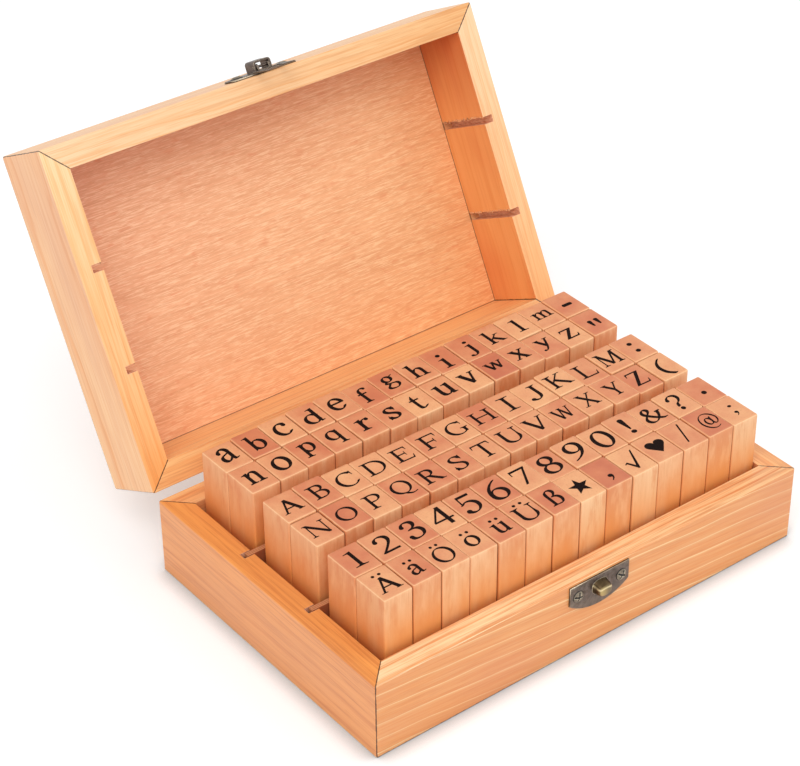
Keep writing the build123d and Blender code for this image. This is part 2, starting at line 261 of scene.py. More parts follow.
def ramp(tree, value, *stops):
    """A colour ramp on a value. Each stop is a place and a grey or a colour code."""
    node = add(tree, "ShaderNodeValToRGB", {"Fac": value})
    band = node.color_ramp
    first, *middle, last = [
        (place, linear(shade) if isinstance(shade, str) else (shade, shade, shade, 1))
        for place, shade in stops
    ]
    for element, (place, shade) in zip(band.elements, (first, last)):
        element.position = place
        element.color = shade
    for place, shade in middle:
        band.elements.new(place).color = shade
    return node.outputs["Color"]


def mix(tree, share, first, second, **settings):
    """Mix two colours. Either may be given by its code."""
    node = tree.nodes.new("ShaderNodeMix")
    node.data_type = "RGBA"
    for name, value in settings.items():
        setattr(node, name, value)
    for socket, value in ((0, share), (6, first), (7, second)):
        if isinstance(value, bpy.types.NodeSocket):
            tree.links.new(value, node.inputs[socket])
        else:
            node.inputs[socket].default_value = linear(value) if isinstance(value, str) else value
    return node.outputs[2]


def bumped(tree, shader, height, strength, distance):
    """Let a height show in the surface's shading."""
    bump = add(tree, "ShaderNodeBump", {"Height": height, "Strength": strength, "Distance": distance})
    tree.links.new(bump.outputs[0], shader.inputs["Normal"])


def refinish(node, material):
    """Give a CAD node its own material."""
    node_materials = frame["nodes"][node].data.materials
    node_materials.clear()
    node_materials.append(material)


# The grain is made of rings about the pith, which the wall's faces cut, with fine fibres, short dashes and
# long dark lines drawn out along X, and large pinker patches. All its sizes are in millimetres.
pine_grain, given, result = new_group(
    "pine grain",
    [
        ("Vector", "Vector", (0, 0, 0)),
        ("Pale", "Color", linear("F6BE82")),
        ("Warm", "Color", linear("E58A4A")),
        ("Deep", "Color", linear("B9592A")),
        ("Pink", "Color", linear("D08E72")),
        ("Pith", "Vector", (0, 0, 0)),
        ("Ring", "Float", 4.0),
        ("Wander", "Float", 6.0),
        ("Uneven", "Float", 7.0),
        ("Contrast", "Float", 0.7),
        ("Narrow", "Float", 1.0),
        ("Streaks", "Float", 0.5),
        ("Patches", "Float", 0.3),
    ],
    [("Color", "Color"), ("Height", "Float")],
)
tree = pine_grain
grain_mm = millimetres(tree, given["Vector"])
across = vector_maths(tree, "MULTIPLY", vector_maths(tree, "SUBTRACT", grain_mm, given["Pith"]), (0, 1, 1))
radius = add(tree, "ShaderNodeVectorMath", {0: across}, operation="LENGTH").outputs["Value"]
bend = maths(tree, "SUBTRACT", stretched_noise(tree, grain_mm, (0.008, 0.03, 0.03)), 0.5)
bend = maths(tree, "MULTIPLY", bend, given["Wander"])
ripple = maths(tree, "SUBTRACT", stretched_noise(tree, grain_mm, (0.03, 0.2, 0.2)), 0.5)
ripple = maths(tree, "MULTIPLY", ripple, 1.6)
radius = maths(tree, "ADD", maths(tree, "ADD", radius, bend), ripple)
uneven = add(
    tree,
    "ShaderNodeTexNoise",
    {"W": maths(tree, "MULTIPLY", radius, 0.13), "Scale": 1.0, "Detail": 1.0},
    noise_dimensions="1D",
).outputs["Fac"]
radius = maths(tree, "MULTIPLY_ADD", uneven, given["Uneven"], radius)
phase = maths(tree, "FRACT", maths(tree, "DIVIDE", radius, given["Ring"]))
late_wood = ramp(tree, phase, (0.0, 0.0), (0.45, 0.12), (0.8, 0.62), (0.9, 1.0), (0.97, 0.1), (1.0, 0.0))
late_wood = maths(tree, "POWER", late_wood, given["Narrow"])
late_wood = maths(tree, "MULTIPLY", late_wood, given["Contrast"])
long_lines = stretched_noise(tree, grain_mm, (0.014, 0.55, 0.55), detail=3.0, roughness=0.6)
fibres = stretched_noise(tree, grain_mm, (0.035, 1.5, 1.5), detail=3.0, roughness=0.65)
dashes = stretched_noise(tree, grain_mm, (0.09, 2.6, 2.6), detail=1.0)
patches = stretched_noise(tree, grain_mm, (0.012, 0.035, 0.035), detail=2.0)
line_share = ramp(tree, long_lines, (0.52, 0.0), (0.6, 0.75), (0.68, 0.2), (0.8, 0.0))
fibre_share = ramp(tree, fibres, (0.42, 0.0), (0.72, 1.0))
dash_share = ramp(tree, dashes, (0.6, 0.0), (0.74, 1.0))
patch_share = ramp(tree, patches, (0.42, 0.0), (0.68, 1.0))
dash_strength = maths(tree, "MULTIPLY", given["Streaks"], 0.6)
body = mix(tree, late_wood, given["Pale"], given["Warm"])
for share, strength, colour in (
    (line_share, given["Streaks"], "Deep"),
    (fibre_share, given["Streaks"], "Warm"),
    (dash_share, dash_strength, "Deep"),
    (patch_share, given["Patches"], "Pink"),
):
    body = mix(tree, maths(tree, "MULTIPLY", share, strength), body, given[colour])
tree.links.new(body, result.inputs["Color"])
height = maths(tree, "MULTIPLY_ADD", late_wood, 0.5, maths(tree, "MULTIPLY", fibres, 0.5))
tree.links.new(height, result.inputs["Height"])

# The marks of the joiner's work: a dark ragged line along each mitre and torn fibres in the saw cuts for the
# dividers. A line round the foot of the outside is painted as well: dark by default, which is painted shade
# where the base stands on the table and a darker outer edge on the lid. They are placed in a half's own
# frame, in millimetres.
joint_marks, given, result = new_group(
    "mitre and groove marks",
    [
        ("Vector", "Vector", (0, 0, 0)),
        ("Color", "Color", (1, 1, 1, 1)),
        ("Mitre", "Float", 0.9),
        ("Foot", "Float", 1000.0),
        ("Foot Line", "Color", (1, 1, 1, 1)),
    ],
    [("Color", "Color"), ("Height", "Float")],
)
tree = joint_marks
face_margin = 0.3
groove_margin = 0.06
groove_middle = 1000 * (inner_half_length + groove_depth / 2)
marks_mm = millimetres(tree, given["Vector"])
place = split(tree, marks_mm)
side = maths(tree, "ABSOLUTE", place["X"])
front = maths(tree, "ABSOLUTE", place["Y"])
from_mitre = maths(tree, "SUBTRACT", maths(tree, "SUBTRACT", side, front), 1000 * mitre_offset)
ragged = stretched_noise(tree, marks_mm, (0.7, 0.7, 0.7))
line_width = maths(tree, "MULTIPLY_ADD", ragged, 0.5, 0.04)
on_mitre = maths(tree, "LESS_THAN", maths(tree, "ABSOLUTE", from_mitre), line_width)
from_groove = maths(tree, "ABSOLUTE", maths(tree, "SUBTRACT", front, 1000 * groove_offset))
from_slot = maths(tree, "ABSOLUTE", maths(tree, "SUBTRACT", side, groove_middle + groove_margin))
in_groove = maths(
    tree,
    "MULTIPLY",
    maths(tree, "LESS_THAN", from_slot, 1000 * groove_depth / 2),
    maths(tree, "LESS_THAN", from_groove, 1000 * groove_half_width + groove_margin),
)
torn_colour = ramp(tree, stretched_noise(tree, marks_mm, (1.5, 1.5, 0.4)), (0.3, "D08E6C"), (0.7, "FACCAA"))
marked = mix(tree, in_groove, given["Color"], torn_colour)
marked = mix(tree, maths(tree, "MULTIPLY", on_mitre, given["Mitre"]), marked, "2E1A10")
# The foot line: by default a dark painted shade along the foot of the outside.
foot_line = maths(tree, "SUBTRACT", given["Foot"], maths(tree, "MULTIPLY_ADD", ragged, 0.6, 0.3))
at_foot = maths(tree, "GREATER_THAN", maths(tree, "ABSOLUTE", place["Z"]), foot_line)
outside = maths(
    tree,
    "MAXIMUM",
    maths(tree, "GREATER_THAN", side, 1000 * box_length / 2 - face_margin),
    maths(tree, "GREATER_THAN", front, 1000 * box_width / 2 - face_margin),
)
at_foot = maths(tree, "MULTIPLY", at_foot, outside)
marked = mix(tree, maths(tree, "MULTIPLY", at_foot, 0.8), marked, given["Foot Line"])
tree.links.new(marked, result.inputs["Color"])
tree.links.new(maths(tree, "SUBTRACT", 1.0, on_mitre), result.inputs["Height"])

# The rim, the inside and the front corners of the inside each have their own tint. The inside's tint and its
# darkening towards the front corners are painted shade. A rim can also show its own grain, as it's cut
# through the rings.
face_tints, given, result = new_group(
    "rim and inside tints",
    [
        ("Vector", "Vector", (0, 0, 0)),
        ("Color", "Color", (1, 1, 1, 1)),
        ("Rim", "Color", (1, 1, 1, 1)),
        ("Inside", "Color", (1, 1, 1, 1)),
        ("Rim Wood", "Color", (1, 1, 1, 1)),
        ("Rim Share", "Float", 0.0),
        ("Rim End", "Color", (1, 1, 1, 1)),
        ("Run", "Vector", (0, 0, 0)),
    ],
    [("Color", "Color")],
)
tree = face_tints
inside_margin = 0.2
place = split(tree, millimetres(tree, given["Vector"]))
on_rim = maths(tree, "LESS_THAN", maths(tree, "ABSOLUTE", place["Z"]), face_margin)
side_in, front_in = [
    maths(tree, "LESS_THAN", maths(tree, "ABSOLUTE", place[axis]), 1000 * half + inside_margin)
    for axis, half in (("X", inner_half_length), ("Y", inner_half_width))
]
inside = maths(tree, "MULTIPLY", side_in, front_in)
inside = maths(tree, "MULTIPLY", inside, maths(tree, "SUBTRACT", 1.0, on_rim))
own_rim = maths(tree, "MULTIPLY", on_rim, given["Rim Share"])
tinted = mix(tree, own_rim, given["Color"], given["Rim Wood"])
along_run = add(
    tree, "ShaderNodeVectorMath", {0: given["Vector"], 1: given["Run"]}, operation="DOT_PRODUCT"
).outputs["Value"]
rim_tint = mix(tree, maths(tree, "ADD", along_run, 0.5), given["Rim"], given["Rim End"])
tinted = mix(tree, on_rim, tinted, rim_tint, blend_type="MULTIPLY")
# Painted shade: the inside tint warms and darkens the inner faces.
tinted = mix(tree, inside, tinted, given["Inside"], blend_type="MULTIPLY")
# Painted shade: the inside darkens towards its front corners.
corner_shade_share = maths(tree, "MULTIPLY", spread(tree, place["Y"], -20.0, -58.0), inside)
tinted = mix(tree, corner_shade_share, tinted, "E8CDC8", blend_type="MULTIPLY")
tree.links.new(tinted, result.inputs["Color"])


def half_place(tree, on_lid):
    """Object coordinates in a half's own frame: x to the right, y to the back, z away from the rim."""
    here = add(tree, "ShaderNodeTexCoord").outputs["Object"]
    if not on_lid:
        return add(tree, "ShaderNodeMapping", {"Vector": here, "Location": (0, 0, -base_rim)}).outputs[0]
    turn = Euler((lid_angle, 0, 0))
    move = -(turn.to_matrix() @ lid_rim_centre)
    return add(tree, "ShaderNodeMapping", {"Vector": here, "Location": move, "Rotation": turn}).outputs[0]


def rim_distances(node, on_lid):
    """How far each point of a CAD node lies from its half's rim."""
    points = [v.co for v in frame["nodes"][node].data.vertices]
    return [(p - lid_rim_centre).dot(lid_up) if on_lid else base_rim - p.z for p in points]


def stick_of_pine(tree, where, offset, turn, grain):
    """The pine grain on a stick that is moved and turned in the tree."""
    stick = add(tree, "ShaderNodeMapping", {"Vector": where, "Location": offset, "Rotation": turn})
    values = {name: linear(value) if isinstance(value, str) else value for name, value in grain.items()}
    inputs = {"Vector": stick.outputs[0], **values}
    return add(tree, "ShaderNodeGroup", inputs, node_tree=pine_grain).outputs


# A wall's foot line is dark by default, as painted shade at its foot; a pale one may be given instead.
def varnished_pine(
    node, on_lid, along_y, offset, slope, rim="FFFFFF", rim_end=None, inside="FFFFFF", rim_slope=0.0,
    rim_grain=None, foot_line="5A3018", **grain
):
    """Give one wall its own piece of the tree. The slope tilts the grain across the wall's face.
    The rim's tint changes from its left or front end to its other end."""
    material, tree, shader = new_material(node + "_pine", 0.42, Coat_Weight=0.12, Coat_Roughness=0.35)
    where = half_place(tree, on_lid)
    along = radians(90) if along_y else 0
    wood = stick_of_pine(tree, where, offset, Euler((0, radians(slope), along)), grain)
    tint_inputs = {
        "Vector": where,
        "Color": wood["Color"],
        "Rim": linear(rim),
        "Rim End": linear(rim_end or rim),
        "Run": (0, 1 / box_width, 0) if along_y else (1 / box_length, 0, 0),
        "Inside": linear(inside),
    }
    if rim_grain:
        rim_wood = stick_of_pine(tree, where, offset, Euler((0, 0, along + radians(rim_slope))), rim_grain)
        tint_inputs["Rim Wood"] = rim_wood["Color"]
        tint_inputs["Rim Share"] = 1.0
    tints = add(tree, "ShaderNodeGroup", tint_inputs, node_tree=face_tints)
    marks = add(tree, "ShaderNodeGroup", {
        "Vector": where,
        "Color": tints.outputs["Color"],
        "Foot": 1000 * (max(rim_distances(node, on_lid)) if on_lid else base_rim),
        "Foot Line": linear(foot_line),
    }, node_tree=joint_marks)
    tree.links.new(marks.outputs["Color"], shader.inputs["Base Color"])
    height = maths(tree, "MULTIPLY_ADD", marks.outputs["Height"], 2.0, wood["Height"])
    bumped(tree, shader, height, 0.35, 0.00012)
    rough = maths(tree, "MULTIPLY_ADD", wood["Height"], 0.2, 0.36)
    tree.links.new(rough, shader.inputs["Roughness"])
    refinish(node, material)


varnished_pine(
    "base_front_wall", False, False, (0.31, 0, 0), -5.0,
    Pith=(0, -72, -150), Ring=6.6, Wander=7.0, Uneven=2.0, Contrast=1.0, Narrow=4.5, Streaks=0.26,
    Patches=0.4, Pale="E99856", Warm="FFDCA4", Deep="C86A30", Pink="DE8E62",
    rim_end="F2DCC8", rim_slope=1.0,
    rim_grain={
        "Pith": (0, -20, 30), "Ring": 3.2, "Wander": 6.0, "Uneven": 4.0, "Contrast": 1.0, "Narrow": 1.8,
        "Streaks": 0.75, "Patches": 0.3, "Pale": "FFE6B8", "Warm": "EC9A58", "Deep": "C46C34",
        "Pink": "F4B070",
    },
)
varnished_pine(
    "base_left_wall", False, True, (0.12, 0, 0), 2.5, rim="FFFADC", foot_line="F8D2A0",
    Pith=(0, 30, 75), Ring=3.4, Wander=8.0, Contrast=0.5, Narrow=1.5, Streaks=0.55, Patches=0.5,
    Pale="F0A260", Warm="D88248", Deep="B85C2E", Pink="D89466",
)
varnished_pine(
    "base_right_wall", False, True, (0.52, 0, 0), -1.5,
    Pith=(0, 60, -60), Ring=4.5, Wander=8.0, Contrast=0.6, Streaks=0.5, Patches=0.3,
    Pale="F5BC80", Warm="E88F4C",
)
varnished_pine(
    "base_back_wall", False, False, (0.75, 0, 0), -1.0,
    Pith=(0, 20, 60), Ring=5.0, Wander=9.0, Contrast=0.6, Streaks=0.5, Patches=0.3,
    Pale="F5BC80", Warm="E88F4C",
)
varnished_pine(
    "lid_front_wall", True, False, (0.95, 0, 0), 1.0,
    Pith=(0, -110, -60), Ring=5.5, Wander=12.0, Contrast=0.8, Narrow=1.6, Streaks=0.5, Patches=0.25,
    Pale="F9CA92", Warm="EE9E56", Deep="D98848", Pink="E8AC88",
    rim_end="F1DAB8",
    rim_grain={
        "Pith": (0, -110, -60), "Ring": 2.8, "Wander": 6.0, "Contrast": 0.7, "Narrow": 2.5, "Streaks": 0.6,
        "Patches": 0.3, "Pale": "FCD8AE", "Warm": "EFAA64", "Deep": "DA9450", "Pink": "F2C090",
    },
)
varnished_pine(
    "lid_left_wall", True, True, (1.15, 0, 0), -1.0, rim_end="FACD9C",
    Pith=(0, 80, 50), Ring=5.5, Wander=9.0, Contrast=0.7, Narrow=1.6, Streaks=0.5, Patches=0.35,
    Pale="F9C692", Warm="EE9E5C", Deep="D98A54", Pink="E2A482",
    rim_grain={
        "Pith": (0, 80, 50), "Ring": 3.4, "Wander": 7.0, "Contrast": 0.7, "Narrow": 2.0, "Streaks": 0.6,
        "Patches": 0.4, "Pale": "FEDDB0", "Warm": "F4B46E", "Deep": "DA9A54", "Pink": "F8CC90",
    },
)
varnished_pine(
    "lid_right_wall", True, True, (1.4, 0, 0), 2.0, rim_end="FFDEB4", inside="FFE8CC",
    Pith=(0, 55, 80), Ring=7.0, Wander=14.0, Contrast=0.45, Narrow=1.4, Streaks=0.3, Patches=0.7,
    Pale="F2BE86", Warm="E8A260", Deep="D88A50", Pink="DC8250",
    rim_grain={
        "Pith": (0, 55, 80), "Ring": 3.6, "Wander": 7.0, "Contrast": 0.5, "Narrow": 2.0, "Streaks": 0.5,
        "Patches": 0.3, "Pale": "FBD6AC", "Warm": "F2B070", "Deep": "DC9A5C", "Pink": "F6C490",
    },
)
varnished_pine(
    "lid_back_wall", True, False, (1.65, 0, 0), -0.6,
    Pith=(0, -35, 45), Ring=3.2, Wander=5.0, Contrast=0.6, Streaks=0.5, Patches=0.2,
    Pale="FAC88A", Warm="F0A058",
)

# The thin plywood panels. The peeled face veneer of the lid's panel has short pale wavy flecks along the
# box, and is duller and pinker towards its upper left.
veneer, given, result = new_group(
    "peeled veneer",
    [
        ("Vector", "Vector", (0, 0, 0)),
        ("Pale", "Color", linear("F0B888")),
        ("Body", "Color", linear("E0986A")),
        ("Deep", "Color", linear("C07848")),
    ],
    [("Color", "Color"), ("Height", "Float")],
)
tree = veneer
veneer_mm = millimetres(tree, given["Vector"])
flecks = stretched_noise(tree, veneer_mm, (0.18, 3.0, 3.0), detail=2.0, roughness=0.6, Distortion=0.2)
threads = stretched_noise(tree, veneer_mm, (0.09, 3.2, 3.2), detail=2.0, roughness=0.7)
bands = stretched_noise(tree, veneer_mm, (0.02, 0.4, 0.4), detail=3.0, roughness=0.6)
clouds = stretched_noise(tree, veneer_mm, (0.02, 0.05, 0.05), detail=2.0)
spots = stretched_noise(tree, veneer_mm, (0.22, 0.4, 0.4), detail=1.0)
body = mix(tree, ramp(tree, clouds, (0.35, 0.0), (0.7, 0.25)), given["Body"], given["Deep"])
body = mix(tree, ramp(tree, bands, (0.45, 0.0), (0.65, 0.3)), body, given["Deep"])
body = mix(tree, ramp(tree, spots, (0.58, 0.0), (0.74, 0.28)), body, "E0784A")
body = mix(tree, ramp(tree, threads, (0.48, 0.0), (0.6, 0.4)), body, given["Deep"])
body = mix(tree, ramp(tree, flecks, (0.5, 0.0), (0.62, 0.7)), body, given["Pale"])
tree.links.new(body, result.inputs["Color"])
tree.links.new(maths(tree, "ADD", flecks, threads), result.inputs["Height"])
panel_gap_line = 0.00035
fade_reach = 0.12
fade_slant = -0.8


def plywood(node, on_lid, pale, deep):
    """Give a panel its face veneer: the pale colours at one end fade to the deep ones at the other."""
    material, tree, shader = new_material(node + "_plywood", 0.5, Coat_Weight=0.08, Coat_Roughness=0.4)
    where = half_place(tree, on_lid)
    parts = split(tree, where)
    slide = maths(tree, "SUBTRACT", parts["X"], maths(tree, "MULTIPLY", parts["Y"], fade_slant))
    face = []
    for colours in (pale, deep):
        codes = {name: linear(code) for name, code in zip(("Pale", "Body", "Deep"), colours)}
        face.append(add(tree, "ShaderNodeGroup", {"Vector": where, **codes}, node_tree=veneer).outputs)
    share = spread(tree, slide, -fade_reach, fade_reach)
    wood = mix(tree, share, face[0]["Color"], face[1]["Color"])
    side_edge, front_edge = [
        maths(tree, "SUBTRACT", half, maths(tree, "ABSOLUTE", parts[axis]))
        for axis, half in (("X", inner_half_length), ("Y", inner_half_width))
    ]
    on_edge = maths(tree, "ABSOLUTE", maths(tree, "MINIMUM", side_edge, front_edge))
    on_edge = maths(tree, "LESS_THAN", on_edge, panel_gap_line)
    inner_face = min(rim_distances(node, on_lid)) + panel_gap_line
    on_edge = maths(
        tree, "MULTIPLY", on_edge, maths(tree, "LESS_THAN", maths(tree, "ABSOLUTE", parts["Z"]), inner_face)
    )
    wood = mix(tree, maths(tree, "MULTIPLY", on_edge, 0.75), wood, "6A3820")
    tree.links.new(wood, shader.inputs["Base Color"])
    bumped(tree, shader, face[0]["Height"], 0.3, 0.0001)
    refinish(node, material)


plywood("lid_top_panel", True, ("FFD0AC", "F2B48E", "D48E66"), ("FCD29A", "F5B67C", "DC9058"))
plywood("base_bottom_panel", False, ("E8B088", "D89468", "B8744C"), ("F0B888", "E09C68", "C07848"))

# The dividers. Two strips of thin plywood stand in the saw cuts of the side walls. Their top edges show
# the plies as pale and dark lines.
def here_in_mm(tree):
    """Object coordinates in millimetres."""
    return millimetres(tree, add(tree, "ShaderNodeTexCoord").outputs["Object"])


for node in ("front_divider", "rear_divider"):
    material, tree, shader = new_material(node + "_plies", 0.6)
    here = here_in_mm(tree)
    layer = maths(tree, "FRACT", maths(tree, "MULTIPLY_ADD", split(tree, here)["Y"], 1.35, 0.2))
    fuzz = stretched_noise(tree, here, (0.3, 3.0, 0.3), detail=3.0)
    plies = ramp(tree, layer, (0.0, "A45C36"), (0.4, "C0744A"), (0.5, "E8AC7C"), (0.9, "DA9664"))
    tone = mix(tree, maths(tree, "MULTIPLY", fuzz, 0.6), plies, "8A4828")
    tree.links.new(tone, shader.inputs["Base Color"])
    bumped(tree, shader, fuzz, 0.4, 0.0002)
    refinish(node, material)

# Splinters left by the saw along the lips of the lid's cuts: thin slivers of pine that lie on the inside of
# the side walls and hang a little way over the cut.
splinter_wood, tree, shader = new_material("torn_pine", 0.65)
fuzz = stretched_noise(tree, here_in_mm(tree), (2.0, 2.0, 2.0), detail=2.0)
tree.links.new(ramp(tree, fuzz, (0.3, "C67C4A"), (0.7, "FACB9A")), shader.inputs["Base Color"])
lid_frame = Matrix((Vector((1, 0, 0)), lid_back, lid_up)).transposed()
panel_depth = min(rim_distances("lid_top_panel", True))
splinter_count = 24
splinter_rise = 0.00012
torn_edges = random.Random(5)
bm = bmesh.new()
for side in (-1, 1):
    for groove in (-1, 1):
        lip = groove * groove_offset - groove_half_width
        for step in range(splinter_count):
            depth = panel_depth * (step + torn_edges.random()) / splinter_count
            width = torn_edges.uniform(0.0005, 0.0013)
            depth = min(max(depth, width), panel_depth - width)
            overhang = torn_edges.uniform(0.0001, 0.0008)
            root = torn_edges.uniform(0.0003, 0.0007)
            inner = side * (inner_half_length + splinter_rise / 2)
            outer = side * (inner_half_length - splinter_rise)
            corners = []
            for x in (inner, outer):
                corners += [
                    (x, lip - root, depth - width / 2),
                    (x, lip - root, depth + width / 2),
                    (x, lip + overhang * 0.4, depth + width * 0.35),
                    (x, lip + overhang, depth + width * torn_edges.uniform(-0.3, 0.3)),
                    (x, lip + overhang * 0.5, depth - width * 0.4),
                ]
            made = [bm.verts.new(lid_rim_centre + lid_frame @ Vector(c)) for c in corners]
            bm.faces.new(made[:5])
            bm.faces.new(made[:4:-1])
            for i in range(5):
                j = (i + 1) % 5
                bm.faces.new((made[j], made[i], made[5 + i], made[5 + j]))


def plain_mesh(name, bm, *materials):
    """Keep what was built as a mesh with its materials, and let the builder's copy go."""
    mesh = bpy.data.meshes.new(name)
    bm.to_mesh(mesh)
    bm.free()
    for material in materials:
        mesh.materials.append(material)
    return mesh


bmesh.ops.recalc_face_normals(bm, faces=bm.faces[:])
splinters = placed("lid_groove_splinters", plain_mesh("lid_groove_splinters", bm, splinter_wood))
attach(splinters, "lid")

# The stamps. Each is a block of fine hardwood, sawn to length, its edges rubbed round, so the top is end
# grain and the sides show the fibres upright. They stand a little loose in their compartments.
column_count = 14
stamp_gap = 0.0002
block_corner = 0.0008
uneven_edge = 0.00006
block_play = 0.00012
lowest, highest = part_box("number_stamps")
column_pitch = (highest.x - lowest.x + stamp_gap) / column_count
block_size = Vector((column_pitch - stamp_gap - block_play, highest.y - lowest.y, highest.z - lowest.z))
stamp_top = highest.z
columns = [lowest.x + column_pitch * (i + 0.5) - stamp_gap / 2 for i in range(column_count)]
row_places = {}
for node, count in (("rear_stamps", 2), ("middle_stamps", 2), ("number_stamps", 1), ("stamp_star", 1)):
    lowest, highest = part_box(node)
    row_depth = (highest.y - lowest.y) / count
    row_places[node] = [lowest.y + row_depth * (i + 0.5) for i in range(count)][::-1]

front_names = (
    "capital_a_umlaut", "small_a_umlaut", "capital_o_umlaut", "small_o_umlaut", "small_u_umlaut",
    "capital_u_umlaut", "sharp_s", "star", "comma", "check", "heart", "slash", "at_sign", "semicolon",
)
# The rows from back to front: the signs, the tone of each block's wood from pale (0) to red (9),
# and the row's y. Two rows share a compartment, where their columns stand forward of or behind their places
# by a few tenths of a millimetre or a millimetre or two.
stamp_rows = (
    ("abcdefghijklm-", "37244674764135", row_places["rear_stamps"][0]),
    ("nopqrstuvwxyz\"", "43655514185526", row_places["rear_stamps"][1]),
    ("ABCDEFGHIJKLM:", "46223526311434", row_places["middle_stamps"][0]),
    ("NOPQRSTUVWXYZ(", "47266534353561", row_places["middle_stamps"][1]),
    ("1234567890!&?.", "64625725334426", row_places["number_stamps"][0]),
    ("ÄäÖöüÜß*,√♥/@;", "36436461814472", row_places["stamp_star"][0]),
)
rear_shifts = (0.5, 1.0, 1.7, 1.7, 1.6, 1.0, 1.4, 1.6, 1.7, 1.7, 1.6, 1.5, 1.5, 1.7)
middle_shifts = (1.0, 1.3, 0.9, 0.9, 0.8, 0.7, 1.2, 1.3, 1.2, 0.8, 1.0, 0.3, 0.4, 0.4)
front_shifts = (-0.2, 0.0, -0.1, 0.1, -0.2, 0.0, -0.1, -0.1, 0.0, -0.2, 0.1, -0.1, 0.0, -0.2)
row_shifts = (rear_shifts, rear_shifts, middle_shifts, middle_shifts, front_shifts, front_shifts)
row_spread = 0.00035
room_behind = 0.0019
left_slide = 0.0009
side_play = 0.00008
deepest = -0.0004
highest_lift = 0.0003
most_turn = 0.5
loose = random.Random(7)
stamps = []
for row, (signs, tones, row_y) in enumerate(stamp_rows):
    for column, (sign, tone) in enumerate(zip(signs, tones)):
        shift = row_shifts[row][column] / 1000
        slide = columns[column] + left_slide * (1 - column / (column_count - 1))
        if row in (0, 2):
            shift += min(row_spread, room_behind - shift)
        stamps.append({
            "row": row,
            "column": column,
            "sign": sign,
            "tone": int(tone) / 9,
            "place": Vector((slide + loose.uniform(-side_play, side_play), row_y + shift, 0)),
            "lift": loose.uniform(deepest, highest_lift),
            "turn": radians(loose.uniform(-most_turn, most_turn)),
            "seed": loose.uniform(0, 40),
        })
in_row = [[s for s in stamps if s["row"] == row] for row in range(len(stamp_rows))]
stamp_groups = [
    ("rear_stamps", "rear_stamp_dies", "rear_stamp_set", in_row[0] + in_row[1]),
    ("middle_stamps", "middle_stamp_dies", "middle_stamp_set", in_row[2] + in_row[3]),
    ("number_stamps", "number_stamp_dies", "number_stamp_set", in_row[4]),
]
for name, stamp in zip(front_names, in_row[5]):
    stamp_groups.append(("stamp_" + name, "die_" + name, name + "_stamp", [stamp]))


def sockets(tree, inputs):
    """Give a Geometry Nodes tree its named inputs and its geometry output."""
    tree.interface.new_socket("Geometry", in_out="INPUT", socket_type="NodeSocketGeometry")
    for label, kind, value in inputs:
        socket = tree.interface.new_socket(label, in_out="INPUT", socket_type="NodeSocket" + kind)
        if value is not None:
            socket.default_value = value
    tree.interface.new_socket("Geometry", in_out="OUTPUT", socket_type="NodeSocketGeometry")
    return tree.nodes.new("NodeGroupInput").outputs, tree.nodes.new("NodeGroupOutput").inputs


# One rounded block on every point of the input mesh. A cube with ten vertices a side is pulled to shape:
# the outer steps of each side go round the corner, the inner ones stay on the flat near it.
block_tree = bpy.data.node_groups.new("rounded blocks", "GeometryNodeTree")
tree = block_tree
given, made = sockets(tree, [
    ("Size", "Vector", (0.0125, 0.01625, 0.0493)),
    ("Corner", "Float", 0.0007),
    ("Unevenness", "Float", 0.00006),
    ("Seed", "Float", 3.0),
    ("Material", "Material", None),
])
side_vertices = 10
round_from = 5 / (side_vertices - 1)
crowding = 0.12
wear_scale = 260.0
cube = add(tree, "GeometryNodeMeshCube", {
    "Size": (2, 2, 2), **{"Vertices " + axis: side_vertices for axis in "XYZ"},
})
spot = add(tree, "GeometryNodeInputPosition").outputs[0]
reach = vector_maths(tree, "ABSOLUTE", spot)
flat = vector_maths(tree, "MINIMUM", reach, (round_from,) * 3)
flat = vector_maths(tree, "DIVIDE", flat, (round_from,) * 3)
half_size = vector_maths(tree, "MULTIPLY", given["Size"], (0.5, 0.5, 0.5))
corner = add(tree, "ShaderNodeCombineXYZ", {i: given["Corner"] for i in range(3)}).outputs[0]
flat_axes = split(tree, flat)
crowded = {i: maths(tree, "POWER", flat_axes[i], crowding) for i in range(3)}
flat = add(tree, "ShaderNodeCombineXYZ", crowded).outputs[0]
flat = vector_maths(tree, "MULTIPLY", flat, vector_maths(tree, "SUBTRACT", half_size, corner))
round_part = vector_maths(tree, "SUBTRACT", reach, (round_from,) * 3)
round_part = vector_maths(tree, "MAXIMUM", round_part, (0, 0, 0))
round_part = vector_maths(tree, "MULTIPLY", vector_maths(tree, "NORMALIZE", round_part), corner)
shaped = vector_maths(tree, "ADD", flat, round_part)
shaped = vector_maths(tree, "MULTIPLY", shaped, vector_maths(tree, "SIGN", spot))
block = add(tree, "GeometryNodeSetPosition", {"Geometry": cube.outputs["Mesh"], "Position": shaped})
turns = add(tree, "GeometryNodeInputNamedAttribute", {"Name": "turn"}, data_type="FLOAT_VECTOR")


def on_each_point(tree, given, piece, rotation):
    """A real copy of the piece on each point of the tree's own geometry."""
    copies = add(tree, "GeometryNodeInstanceOnPoints", {
        "Points": given["Geometry"], "Instance": piece, "Rotation": rotation,
    })
    return add(tree, "GeometryNodeRealizeInstances", {"Geometry": copies.outputs[0]}).outputs[0]


def finished(tree, given, made, geometry):
    """Give the pieces their material and smooth shading, and put them out."""
    coated = add(tree, "GeometryNodeSetMaterial", {"Geometry": geometry, "Material": given["Material"]})
    smooth = add(tree, "GeometryNodeSetShadeSmooth", {"Geometry": coated.outputs[0]})
    tree.links.new(smooth.outputs[0], made[0])


